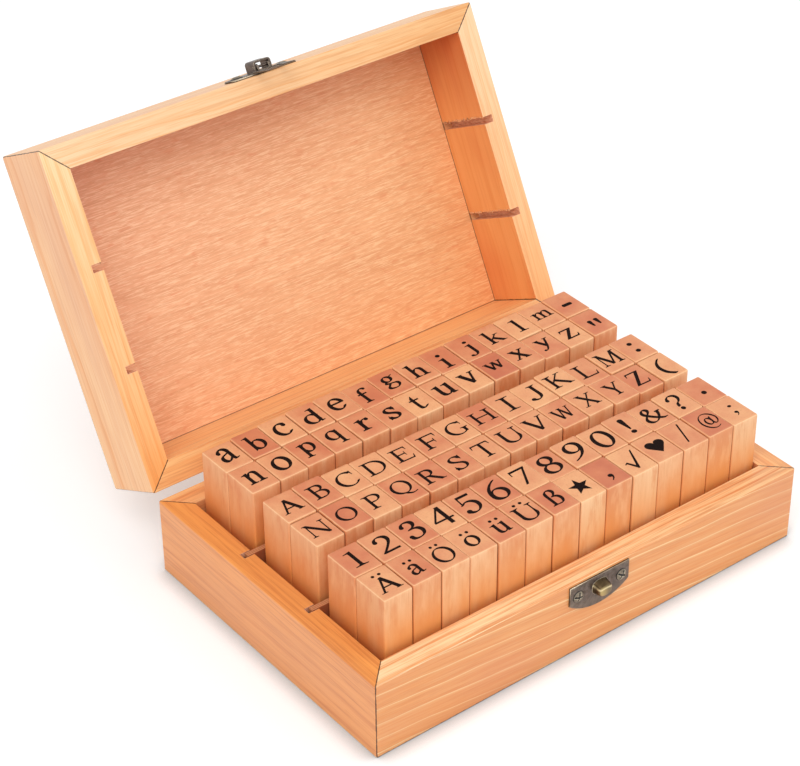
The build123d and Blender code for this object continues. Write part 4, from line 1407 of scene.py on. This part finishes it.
    "*": (
        shape(
            *[(3.5 + r * sin(k * pi / 5), 3.4 + r * cos(k * pi / 5)) for k, r in enumerate((3.6, 1.5) * 5)]
        )
    ),
    ",": small_comma,
    "√": (
        shape(
            (0.2, 3.6), (1.3, 4.2), (2.55, 1.6), (5.6, 8.1), (6.2, 8.3), (2.75, 0.0), (2.3, 0.0),
            (0.85, 3.5), (0.3, 3.3),
        )
    ),
    "♥": (
        shape(
            (3.2, 0.0), (5.9, 3.2), *arc(4.75, 4.3, 1.6, 1.5, -35, 150), (3.2, 4.6),
            *arc(1.65, 4.3, 1.6, 1.5, 30, 215), (0.5, 3.2),
        )
    ),
    "/": shape((0.2, 0.0), (0.75, 0.0), (3.6, 8.2), (3.05, 8.3)),
    "@": (
        bow(3.6, 3.4, 3.2, 3.5, -62, -350, weight=0.62) + ring(3.3, 3.3, 1.15, 1.5, weight=0.7)
        + sweep((4.75, 5.0), (4.4, 3.2), (4.5, 2.0), (5.3, 1.7), (6.3, 2.6), (6.75, 3.8), weight=0.62)
    ),
    ";": small_comma + dot(1.1, 4.6, 0.62),
}

# How wide and how high each sign is printed, in millimetres, row by row as the rows above
sign_sizes = (
    ((7.0, 7.2, 6.8, 7.4, 7.1, 5.3, 6.4, 7.6, 4.0, 4.6, 8.0, 4.4, 8.9, 4.8),
     (9.0, 10.0, 8.4, 9.9, 8.1, 9.7, 8.9, 9.4, 10.0, 10.7, 9.1, 9.0, 4.9, 1.8)),
    ((7.4, 7.8, 6.8, 6.8, 6.3, 6.0, 5.3, 8.4, 8.0, 8.4, 7.2, 6.9, 6.8, 5.2),
     (7.4, 8.5, 9.0, 9.0, 7.4, 7.9, 9.7, 7.7, 7.4, 5.1, 6.7, 8.0, 6.7, 4.4)),
    ((8.7, 7.0, 8.3, 8.8, 7.9, 7.8, 9.0, 9.6, 5.4, 7.2, 10.0, 8.4, 10.0, 2.2),
     (8.0, 8.2, 8.9, 8.2, 8.1, 8.5, 8.3, 7.5, 9.1, 9.3, 8.6, 8.7, 8.7, 7.3)),
    ((8.8, 8.3, 6.8, 8.6, 8.8, 6.3, 8.1, 9.2, 9.4, 8.8, 7.7, 7.3, 7.2, 5.0),
     (7.8, 7.8, 8.2, 9.4, 8.4, 8.5, 8.8, 8.7, 8.5, 6.9, 8.0, 8.0, 8.9, 11.8)),
    ((5.4, 7.4, 7.5, 8.3, 7.6, 8.1, 7.4, 8.1, 7.9, 8.6, 2.4, 9.3, 6.1, 2.2),
     (9.1, 9.6, 10.6, 10.8, 11.2, 11.4, 9.6, 10.8, 10.8, 10.8, 10.2, 9.2, 10.4, 2.2)),
    ((9.0, 5.5, 8.3, 6.0, 6.6, 9.2, 6.3, 8.6, 2.2, 8.0, 8.4, 4.2, 8.2, 2.1),
     (10.4, 8.5, 10.8, 8.7, 8.7, 11.0, 9.2, 8.4, 3.8, 10.6, 7.4, 11.2, 9.9, 7.1)),
)
# The signs that stand off the middle of their block: to the right and to the back, in millimetres
off_middle = {
    "a": (0.2, 0.9), "f": (0.0, -0.5), "i": (0.0, -1.0), "j": (-0.3, -1.0), "-": (0.0, -0.6),
    "\"": (0.2, -0.5), "(": (-0.4, -1.2), ".": (0.0, -1.3), ",": (0.3, -3.4), "/": (0.9, 0.4),
    "@": (0.9, -0.4), ";": (0.6, -0.4),
}
ink_thickness = 0.00009
ink_sunk = 0.00005
relief_height = 0.0011
union_tolerance = 1e-5
straight_angle = radians(0.5)
off_at_random = 0.25
turned_at_random = 1.2


def united(pieces):
    """Join overlapping outlines into one flat mesh. Give its points and faces, in the drawing unit."""
    points = [Vector(p) for piece in pieces for p in piece]
    faces = []
    first = 0
    for piece in pieces:
        faces.append(list(range(first, first + len(piece))))
        first += len(piece)
    flat_points, _, flat_faces, _, _, sources = delaunay_2d_cdt(points, [], faces, 0, union_tolerance)
    return flat_points, [face for face, source in zip(flat_faces, sources) if source]


flat_signs = {sign: united(pieces) for sign, pieces in glyphs.items()}


def printed(name, group, bottom, thickness, mirrored=False):
    """The signs of a group of stamps as one mesh, each a thin solid with its bottom at the given height."""
    hand = -1 if mirrored else 1
    bm = bmesh.new()
    for s in group:
        flat_points, flat_faces = flat_signs[s["sign"]]
        wide, high = s["size"]
        low_x, high_x = [most(p.x for p in flat_points) for most in (min, max)]
        low_y, high_y = [most(p.y for p in flat_points) for most in (min, max)]
        scale_x = hand * wide / 1000 / (high_x - low_x)
        scale_y = high / 1000 / (high_y - low_y)
        turn = Matrix.Rotation(s["turn"] + s["print_turn"], 3, "Z")
        right, back = s["off_middle"]
        middle = s["place"] + Vector((hand * right / 1000, back / 1000, 0))
        middle.z = bottom + s["lift"]
        sign_bm = bmesh.new()
        for p in flat_points:
            x = (p.x - (low_x + high_x) / 2) * scale_x
            y = (p.y - (low_y + high_y) / 2) * scale_y
            sign_bm.verts.new(middle + turn @ Vector((x, y, 0)))
        sign_bm.verts.ensure_lookup_table()
        for face in flat_faces:
            sign_bm.faces.new([sign_bm.verts[i] for i in face])
        loose_points = [v for v in sign_bm.verts if not v.link_faces]
        bmesh.ops.delete(sign_bm, geom=loose_points, context="VERTS")
        bmesh.ops.dissolve_limit(
            sign_bm, angle_limit=straight_angle, verts=sign_bm.verts[:], edges=sign_bm.edges[:]
        )
        raised = bmesh.ops.extrude_face_region(sign_bm, geom=sign_bm.faces[:])["geom"]
        raised = [v for v in raised if isinstance(v, bmesh.types.BMVert)]
        bmesh.ops.translate(sign_bm, vec=(0, 0, thickness), verts=raised)
        bmesh.ops.recalc_face_normals(sign_bm, faces=sign_bm.faces[:])
        sign_mesh = plain_mesh("sign", sign_bm)
        bm.from_mesh(sign_mesh)
        bpy.data.meshes.remove(sign_mesh)
    return placed(name, plain_mesh(name, bm))


hand_print = random.Random(11)
for s in stamps:
    widths, heights = sign_sizes[s["row"]]
    s["size"] = (widths[s["column"]], heights[s["column"]])
    right, back = off_middle.get(s["sign"], (0, 0))
    right += hand_print.uniform(-off_at_random, off_at_random)
    back += hand_print.uniform(-off_at_random, off_at_random)
    s["off_middle"] = (right, back)
    s["print_turn"] = radians(hand_print.uniform(-turned_at_random, turned_at_random))

ink, tree, shader = new_material("black_ink", 0.8, Specular_IOR_Level=0.08)
thin_spots = stretched_noise(tree, here_in_mm(tree), (2.2, 2.2, 2.2), detail=3.0, roughness=0.7)
tree.links.new(ramp(tree, thin_spots, (0.5, "160C0A"), (0.95, "3A2218")), shader.inputs["Base Color"])
for node, die_node, body_name, group in stamp_groups:
    signs = printed(node + "_signs", group, stamp_top - ink_sunk, ink_thickness)
    signs.data.materials.append(ink)
    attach(signs, body_name)

# The rubber dies under the stamps: a soft cushion, a thin rubber plate and the sign standing up from it,
# turned round so that it prints the right way.
cushion_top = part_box("number_stamp_dies")[1].z
die_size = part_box("die_star")[1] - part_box("die_star")[0]
cushion_thickness = 0.0012
rubber_thickness = 0.0007
die_corner = 0.0003
rubber, tree, shader = new_material("red_rubber", 0.75)
here = here_in_mm(tree)
height = split(tree, here)["Z"]
bubbles = stretched_noise(tree, here, (3.0, 3.0, 3.0), detail=2.0)
on_cushion = maths(tree, "GREATER_THAN", height, 1000 * (cushion_top - cushion_thickness))
foam_colour = ramp(tree, bubbles, (0.35, "9A7A66"), (0.65, "C0A08A"))
rubber_colour = ramp(tree, bubbles, (0.3, "6A2A22"), (0.7, "8A3C30"))
tree.links.new(mix(tree, on_cushion, rubber_colour, foam_colour), shader.inputs["Base Color"])
bumped(tree, shader, bubbles, 0.4, 0.0002)
for node, die_node, body_name, group in stamp_groups:
    for label, top, thick in (
        ("_cushion", cushion_top, cushion_thickness),
        ("_plate", cushion_top - cushion_thickness, rubber_thickness),
    ):
        layer = grown(
            die_node + label, points_mesh(die_node, group, top - thick / 2), block_tree,
            Size=(die_size.x, die_size.y, thick), Corner=die_corner, Unevenness=0.0, Material=rubber,
        )
        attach(layer, body_name)
    relief_foot = cushion_top - cushion_thickness - rubber_thickness - relief_height
    relief = printed(die_node + "_relief", group, relief_foot, relief_height + ink_sunk, mirrored=True)
    relief.data.materials.append(rubber)
    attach(relief, body_name)
    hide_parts(die_node)

# The latch and the hinges, of stamped steel with an antique bronze finish: dark and a little olive, rubbed
# bright on the edges and in a few scuffs, where the bright edges also serve as a painted highlight. The
# hollows are darkened as painted shade. The screws have a thinner, browner coat.
def metal_with_wear_and_painted_light(name, dark, mid, bright, edge_brightening):
    """A tarnished metal, bright where its edges are worn, which also serves as a painted highlight, and
    darkened in its hollows as painted shade.
    """
    material, tree, shader = new_material(name, 0.4, Metallic=1.0)
    here = here_in_mm(tree)
    tarnish = stretched_noise(tree, here, (0.6, 0.6, 0.6), detail=4.0, roughness=0.6)
    specks = stretched_noise(tree, here, (3.0, 3.0, 3.0), detail=2.0)
    rounded = add(tree, "ShaderNodeBevel", {"Radius": 0.00035}, samples=4).outputs[0]
    true_normal = add(tree, "ShaderNodeNewGeometry").outputs["True Normal"]
    straight = add(tree, "ShaderNodeVectorMath", {0: rounded, 1: true_normal}, operation="DOT_PRODUCT")
    # Worn bright edges, which also serve as a painted highlight.
    edge_wear_and_highlight = ramp(tree, straight.outputs["Value"], (0.8, 1.0), (0.985, 0.0))
    edge_wear_and_highlight = maths(tree, "MULTIPLY", edge_wear_and_highlight, ramp(tree, specks, (0.3, 0.35), (0.6, 1.0)))
    colour = ramp(tree, tarnish, (0.3, dark), (0.7, mid))
    colour = mix(tree, maths(tree, "MULTIPLY", edge_wear_and_highlight, edge_brightening), colour, bright)
    # Painted shade: the hollows darken by ambient occlusion.
    open_sky = add(tree, "ShaderNodeAmbientOcclusion", {"Distance": 0.0009}, samples=8).outputs["AO"]
    colour = mix(tree, ramp(tree, open_sky, (0.35, 0.9), (0.8, 0.0)), colour, "1E1712")
    tree.links.new(colour, shader.inputs["Base Color"])
    tree.links.new(maths(tree, "MULTIPLY_ADD", tarnish, 0.3, 0.25), shader.inputs["Roughness"])
    tree.links.new(rounded, shader.inputs["Normal"])
    return material


def reopened(material):
    """A finished material's tree, its shader and the colour it has so far."""
    shader = material.node_tree.nodes["Principled BSDF"]
    return material.node_tree, shader, shader.inputs["Base Color"].links[0].from_socket


bronze = metal_with_wear_and_painted_light("antique_bronze", "50443C", "7C6E66", "D8CAB0", 0.9)
brass = metal_with_wear_and_painted_light("brass_rub_and_painted_light", "5A4836", "8A7656", "FFF4D0", 1.0)
steel = metal_with_wear_and_painted_light("screw_steel", "70665A", "988C7A", "E0D4BC", 0.7)

# The nub's light and shade are painted: painted shade on the ramp above its crown, a painted highlight
# along the edge below it, and a brighter front, partly painted light and partly rubbed by the tongue. The
# front is brassier at the left, partly as a painted highlight, and greyer at the right.
tree, shader, tarnished = reopened(brass)
nub_share_per_metre = 140.0
turned_to = split(tree, add(tree, "ShaderNodeTexCoord").outputs["Normal"])
# Painted light on the front, which looks forward.
lit_and_rubbed_front = ramp(tree, maths(tree, "MULTIPLY", turned_to["Y"], -1.0), (0.55, 0.0), (0.85, 1.0))
# Painted highlight along the ridge below the crown.
ridge_highlight = ramp(tree, turned_to["Z"], (0.1, 0.0), (0.28, 1.0), (0.42, 0.6), (0.55, 0.0))
# Painted shade on the ramp, which looks up.
ramp_shade = ramp(tree, turned_to["Z"], (0.35, 0.0), (0.55, 0.75))
across_nub = split(tree, add(tree, "ShaderNodeTexCoord").outputs["Object"])["X"]
across_nub = maths(tree, "MULTIPLY_ADD", across_nub, nub_share_per_metre, 0.5)
front_tone = ramp(tree, across_nub, (0.3, "C8B078"), (0.7, "86785E"))
rub_and_painted_light = mix(tree, ramp_shade, tarnished, "3E3020")
rub_and_painted_light = mix(tree, maths(tree, "MULTIPLY", lit_and_rubbed_front, 0.75), rub_and_painted_light, front_tone)
rub_and_painted_light = mix(tree, maths(tree, "MULTIPLY", ridge_highlight, 0.75), rub_and_painted_light, "F4E0B0")
tree.links.new(rub_and_painted_light, shader.inputs["Base Color"])

# The catch plate: a half-moon of sheet steel with softened edges and a pressed nub, whose front is rubbed
# through to the brass colour by the tongue and carries the painted light and shade set up above.
plate_left, plate_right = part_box("catch_plate")
plate_middle = (plate_left.x + plate_right.x) / 2
plate_back = plate_right.y
plate_half = (plate_right.x - plate_left.x) / 2
plate_top = plate_right.z
plate_height = plate_right.z - plate_left.z
plate_thickness = 0.0008
straight_side = 0.0082
arc_rise = plate_height - straight_side
arc_radius = (plate_half ** 2 + arc_rise ** 2) / (2 * arc_rise)
arc_half = atan2(plate_half, arc_radius - arc_rise)
arc_steps = 28
outline = [(plate_half, 0.0), (-plate_half, 0.0)]
for i in range(arc_steps + 1):
    t = -arc_half + 2 * arc_half * i / arc_steps
    outline.append((arc_radius * sin(t), plate_height - arc_radius * (1 - cos(t))))
ring_steps = 40
squareness_near_rim = 2.8
squareness_at_foot = 2.1


def nub_ring(width, start, length):
    """One level of the nub: squarer towards the rim, rounder at its lower end. Sizes in millimetres."""
    ring_points = []
    for i in range(ring_steps):
        t = 2 * pi * i / ring_steps
        power = 2 / (squareness_at_foot if sin(t) > 0 else squareness_near_rim)
        u = abs(cos(t)) ** power * (1 if cos(t) > 0 else -1) * width / 2
        v = start + length / 2 + abs(sin(t)) ** power * (1 if sin(t) > 0 else -1) * length / 2
        ring_points.append((u / 1000, v / 1000))
    return ring_points


def latch_frame(origin, away, out):
    """The frame of a latch plate: x to the right, y away from the rim, z off the wood."""
    return Matrix.Translation(origin) @ Matrix(((1, 0, 0), away, out)).transposed().to_4x4()


def stack(bm, place, levels, material_index):
    """A closed stack of outlines in a latch plate's frame, each at its height off the wood."""
    rings = []
    for out, points in levels:
        rings.append([bm.verts.new(place @ Vector((u, v, out))) for u, v in points])
    faces = [bm.faces.new(rings[0]), bm.faces.new(rings[-1][::-1])]
    for lower_ring, upper_ring in zip(rings, rings[1:]):
        count = len(lower_ring)
        for i in range(count):
            j = (i + 1) % count
            faces.append(bm.faces.new((lower_ring[i], lower_ring[j], upper_ring[j], upper_ring[i])))
    for face in faces:
        face.material_index = material_index
        face.smooth = True


def inset(points, by):
    """The plate's outline drawn in a little all round."""
    half_down = plate_height / 2
    return [
        (u * (1 - by / plate_half), half_down + (v - half_down) * (1 - by / half_down)) for u, v in points
    ]


def latch_piece(name, bm, body_name, node, *materials):
    """Close a latch mesh as one piece that rides on a body and stands for a CAD node."""
    bmesh.ops.recalc_face_normals(bm, faces=bm.faces[:])
    piece = placed(name, plain_mesh(name, bm, *materials))
    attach(piece, body_name)
    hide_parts(node)


plate_levels = (
    (0.0, outline),
    (0.0005, outline),
    (0.0007, inset(outline, 0.00006)),
    (plate_thickness, inset(outline, 0.00025)),
)
# The nub's levels: how far out from the wall, then its width, the place of its upper end and its length,
# all in millimetres.
nub_levels = (
    (0.6, 7.4, 1.9, 6.6), (0.9, 7.3, 1.95, 6.5), (1.3, 6.9, 2.1, 6.2), (2.2, 6.7, 2.3, 5.9),
    (3.0, 6.5, 2.5, 5.5), (3.7, 6.2, 2.8, 4.9), (4.15, 5.7, 3.1, 4.3), (4.45, 4.8, 3.5, 3.5),
    (4.6, 3.4, 4.1, 2.3),
)
nub_rings = [(out / 1000, nub_ring(width, start, length)) for out, width, start, length in nub_levels]
catch_place = latch_frame((plate_middle, plate_back, plate_top), (0, 0, -1), (0, -1, 0))
bm = bmesh.new()
stack(bm, catch_place, plate_levels, 0)
stack(bm, catch_place, nub_rings, 1)
latch_piece("catch_plate_pressing", bm, "base", "catch_plate", bronze, brass)

# The hasp on the lid: the same half-moon with a strap bent up into an arch, and in it the pin. All its
# places are in millimetres in the plate's frame, which starts on the rim's edge.
arch_half = 3.9
arch_wall = 0.85
arch_height = 5.2
arch_foot = 0.4
arch_start = 1.9
arch_end = 8.6
outer_bend = 1.3
inner_bend = 0.5
pin_radius = 0.5
pin_place = 2.6
pin_height = 2.75
pin_overhang = 0.2
pin_sides = 24
plate_edge_gap = 1.2
rim_edge = lid_rim_centre + Vector((plate_middle, 0, 0)) - lid_back * box_width / 2
hasp_place = latch_frame(rim_edge, lid_up, -lid_back)


def bend_round(across, along, radius, first, last, steps=6):
    """Points on an arc round a centre, between two angles in degrees."""
    angles = [radians(first + (last - first) * i / steps) for i in range(steps + 1)]
    return [(across + radius * cos(t), along + radius * sin(t)) for t in angles]


def drawn_out(bm, profile, start, end, at):
    """A profile drawn out to a closed bar. The function at() places a profile point at a depth."""
    ends = []
    for depth in (start, end):
        ends.append([bm.verts.new(hasp_place @ (Vector(at(a, b, depth)) / 1000)) for a, b in profile])
    bm.faces.new(ends[0])
    bm.faces.new(ends[1][::-1])
    for i in range(len(profile)):
        j = (i + 1) % len(profile)
        bm.faces.new((ends[0][i], ends[0][j], ends[1][j], ends[1][i]))


def along_rim(y, z, x):
    """For a bar whose profile lies across the rim and off the wood, and whose depth runs along the rim."""
    return x, y, z


inside_half = arch_half - arch_wall
outer_top = arch_height - outer_bend
inner_top = arch_height - arch_wall - inner_bend
arch_profile = [
    (-arch_half, arch_foot),
    *bend_round(-arch_half + outer_bend, outer_top, outer_bend, 180, 90),
    *bend_round(arch_half - outer_bend, outer_top, outer_bend, 90, 0),
    (arch_half, arch_foot),
    (inside_half, arch_foot),
    *bend_round(inside_half - inner_bend, inner_top, inner_bend, 0, 90),
    *bend_round(-inside_half + inner_bend, inner_top, inner_bend, 90, 180),
    (-inside_half, arch_foot),
]
bm = bmesh.new()
stack(bm, hasp_place @ Matrix.Translation((0, plate_edge_gap / 1000, 0)), plate_levels, 0)
drawn_out(bm, arch_profile, arch_start, arch_end, lambda x, z, y: (x, y, z))
latch_piece("hasp_plate_pressing", bm, "lid", "hasp_plate", bronze)

last_side = 360 - 360 / pin_sides
pin_profile = bend_round(pin_place, pin_height, pin_radius, 0, last_side, steps=pin_sides - 1)
pin_end = arch_half + pin_overhang
bm = bmesh.new()
drawn_out(bm, pin_profile, -pin_end, pin_end, along_rim)
latch_piece("hasp_pin_wire", bm, "lid", "hasp_pin", bronze)

# The tongue: a frame of thin sheet round the window for the nub, with a neck and two ears on the pin. It
# leans a little towards the catch plate, and its end lifts by less than half a millimetre.
sheet = 0.55
lean = 0.0174
stand_off = 1.1
frame_half = 6.3
frame_from = 0.9
frame_to = -12.6
frame_corner = 1.3
window_half = 4.2
window_from = -1.0
window_to = -10.5
window_corner = 1.0
curl_from = -11.4
curl = 0.3
neck_from = -0.6
neck_to = 3.4
ear_outside = 2.9
ear_inside = 2.2
ear_radius = 1.2
ear_foot = 1.2
ear_from = 0.9
ear_to = 3.3
ear_turns = (-20, 190)


def rounded_frame(half, high, low, radius):
    """The outline of a rectangle with round corners."""
    corners = []
    for side, end, turn in ((1, high, 0), (-1, high, 90), (-1, low, 180), (1, low, 270)):
        across = side * (half - radius)
        along = end + (-radius if end == high else radius)
        corners += bend_round(across, along, radius, turn, turn + 90, steps=5)
    return corners


def off_the_wood(y):
    """How far the tongue's inner side stands off the lid's front."""
    return stand_off - lean * (frame_from - y) + curl * max(0, curl_from - y) ** 2


frame_outline = rounded_frame(frame_half, frame_from, frame_to, frame_corner)
window_outline = rounded_frame(window_half, window_from, window_to, window_corner)
bm = bmesh.new()
loops = []
for points in (frame_outline, window_outline):
    for rise in (0, sheet):
        loops.append([
            bm.verts.new(hasp_place @ (Vector((x, y, off_the_wood(y) + rise)) / 1000)) for x, y in points
        ])
outer_low, outer_high, inner_low, inner_high = loops
for i in range(len(outer_low)):
    j = (i + 1) % len(outer_low)
    for first, second in (
        (outer_low, outer_high), (outer_high, inner_high), (inner_high, inner_low), (inner_low, outer_low)
    ):
        bm.faces.new((first[i], first[j], second[j], second[i]))
neck_top = stand_off + sheet
neck_profile = [(neck_from, stand_off), (neck_to, stand_off), (neck_to, neck_top), (neck_from, neck_top)]
drawn_out(bm, neck_profile, -ear_outside, ear_outside, along_rim)
ear_profile = [(ear_from, ear_foot), (ear_to, ear_foot)]
ear_profile += bend_round(pin_place, pin_height, ear_radius, *ear_turns, steps=14)
for side in (-1, 1):
    drawn_out(bm, ear_profile, side * ear_inside, side * ear_outside, along_rim)
latch_piece("hasp_tongue_frame", bm, "tongue", "hasp_tongue", bronze)

# The latch's screws: round heads, each turned at random, with a cross cut in the crown. The cut and the rim
# below the crown are painted dark, as painted shade.
head_tree = bpy.data.node_groups.new("screw heads", "GeometryNodeTree")
tree = head_tree
below_crown = -0.3
rim_shade_from = 0.8
rim_shade_share = 0.8
most_spin = 1.5
given, made = sockets(tree, [
    ("Radius", "Float", 0.0026),
    ("Rise", "Float", 0.0012),
    ("Slot Length", "Float", 0.002),
    ("Slot Width", "Float", 0.0004),
    ("Slot Depth", "Float", 0.0006),
    ("Seed", "Int", 4),
    ("Material", "Material", None),
])
dome = add(tree, "GeometryNodeMeshUVSphere", {"Segments": 56, "Rings": 36, "Radius": 1.0})
axes = split(tree, add(tree, "GeometryNodeInputPosition").outputs[0])
to_right = maths(tree, "MULTIPLY", axes["X"], given["Radius"])
to_back = maths(tree, "MULTIPLY", axes["Y"], given["Radius"])
reach_x = maths(tree, "ABSOLUTE", to_right)
reach_y = maths(tree, "ABSOLUTE", to_back)
arms = []
for along, beside in ((reach_x, reach_y), (reach_y, reach_x)):
    in_length = maths(tree, "LESS_THAN", along, given["Slot Length"])
    in_width = maths(tree, "LESS_THAN", beside, given["Slot Width"])
    arms.append(maths(tree, "MULTIPLY", in_length, in_width))
above = maths(tree, "GREATER_THAN", axes["Z"], 0.0)
in_cross = maths(tree, "MULTIPLY", maths(tree, "MAXIMUM", *arms), above)
rise = maths(tree, "MULTIPLY", maths(tree, "MAXIMUM", axes["Z"], below_crown), given["Rise"])
rise = maths(tree, "SUBTRACT", rise, maths(tree, "MULTIPLY", in_cross, given["Slot Depth"]))
pulled = add(tree, "ShaderNodeCombineXYZ", {0: to_right, 1: to_back, 2: rise}).outputs[0]
from_middle = maths(tree, "MULTIPLY", axes["X"], axes["X"])
from_middle = maths(tree, "MULTIPLY_ADD", axes["Y"], axes["Y"], from_middle)
# Painted shade: the rim below the crown is marked dark.
at_rim = maths(tree, "GREATER_THAN", from_middle, rim_shade_from)
at_rim = maths(tree, "MULTIPLY", at_rim, rim_shade_share)
slot_and_rim_shade = maths(tree, "MAXIMUM", in_cross, at_rim)
marked = add(
    tree,
    "GeometryNodeStoreNamedAttribute",
    {"Geometry": dome.outputs["Mesh"], "Name": "cross", "Value": slot_and_rim_shade},
    data_type="FLOAT",
)
head = add(tree, "GeometryNodeSetPosition", {"Geometry": marked.outputs[0], "Position": pulled})
facing = add(tree, "GeometryNodeInputNamedAttribute", {"Name": "facing"}, data_type="FLOAT_VECTOR")
chance = add(
    tree, "FunctionNodeRandomValue", {"Min": 0.0, "Max": most_spin, "Seed": given["Seed"]}, data_type="FLOAT"
)
on_face = add(tree, "FunctionNodeAlignRotationToVector", {"Vector": facing.outputs["Attribute"]}, axis="Z")
spin = add(tree, "FunctionNodeAxisAngleToRotation", {"Axis": (0, 0, 1), "Angle": chance.outputs[1]})
turned = add(
    tree,
    "FunctionNodeRotateRotation",
    {"Rotation": on_face.outputs[0], "Rotate By": spin.outputs[0]},
    rotation_space="LOCAL",
)
finished(tree, given, made, on_each_point(tree, given, head.outputs[0], turned.outputs[0]))

tree, shader, plain_colour = reopened(steel)
# Painted shade: the cross and the rim below the crown turn dark and lose their shine.
shaded_slot_and_rim = add(tree, "ShaderNodeAttribute", {}, attribute_name="cross").outputs["Fac"]
slot_colour = mix(tree, ramp(tree, shaded_slot_and_rim, (0.2, 0.0), (0.6, 1.0)), plain_colour, "140E0A")
tree.links.new(slot_colour, shader.inputs["Base Color"])
slot_shine = maths(tree, "SUBTRACT", 1.0, maths(tree, "MULTIPLY", shaded_slot_and_rim, 0.9))
tree.links.new(slot_shine, shader.inputs["Metallic"])

head_rise = 0.0012
head_depth = 0.0008
for node, body_name, out, seed in (
    ("catch_screws", "base", Vector((0, -1, 0)), 3),
    ("hasp_screws", "lid", -lid_back, 8),
):
    points = [v.co.copy() for v in frame["nodes"][node].data.vertices]
    spots = []
    for side in (-1, 1):
        own = [p for p in points if (p.x - plate_middle) * side > 0]
        crown = max(p.dot(out) for p in own)
        rim_of_head = [p for p in own if p.dot(out) > crown - head_depth]
        middle = sum(rim_of_head, Vector()) / len(rim_of_head)
        spots.append(middle + out * (crown - head_rise - middle.dot(out)))
    mesh = bpy.data.meshes.new(node)
    mesh.from_pydata(spots, [], [])
    for value in mesh.attributes.new("facing", "FLOAT_VECTOR", "POINT").data:
        value.vector = out
    screws = grown(node + "_heads", mesh, head_tree, Seed=seed, Material=steel)
    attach(screws, body_name)
    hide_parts(node)

# The two hinges behind the box keep the CAD's leaves, pins and screws, with the latch's two finishes.
for hinge in ("left_hinge", "right_hinge"):
    for part in ("_base_leaf", "_lid_leaf", "_pin"):
        refinish(hinge + part, bronze)
for node in ("hinge_base_screws", "hinge_lid_screws"):
    refinish(node, steel)
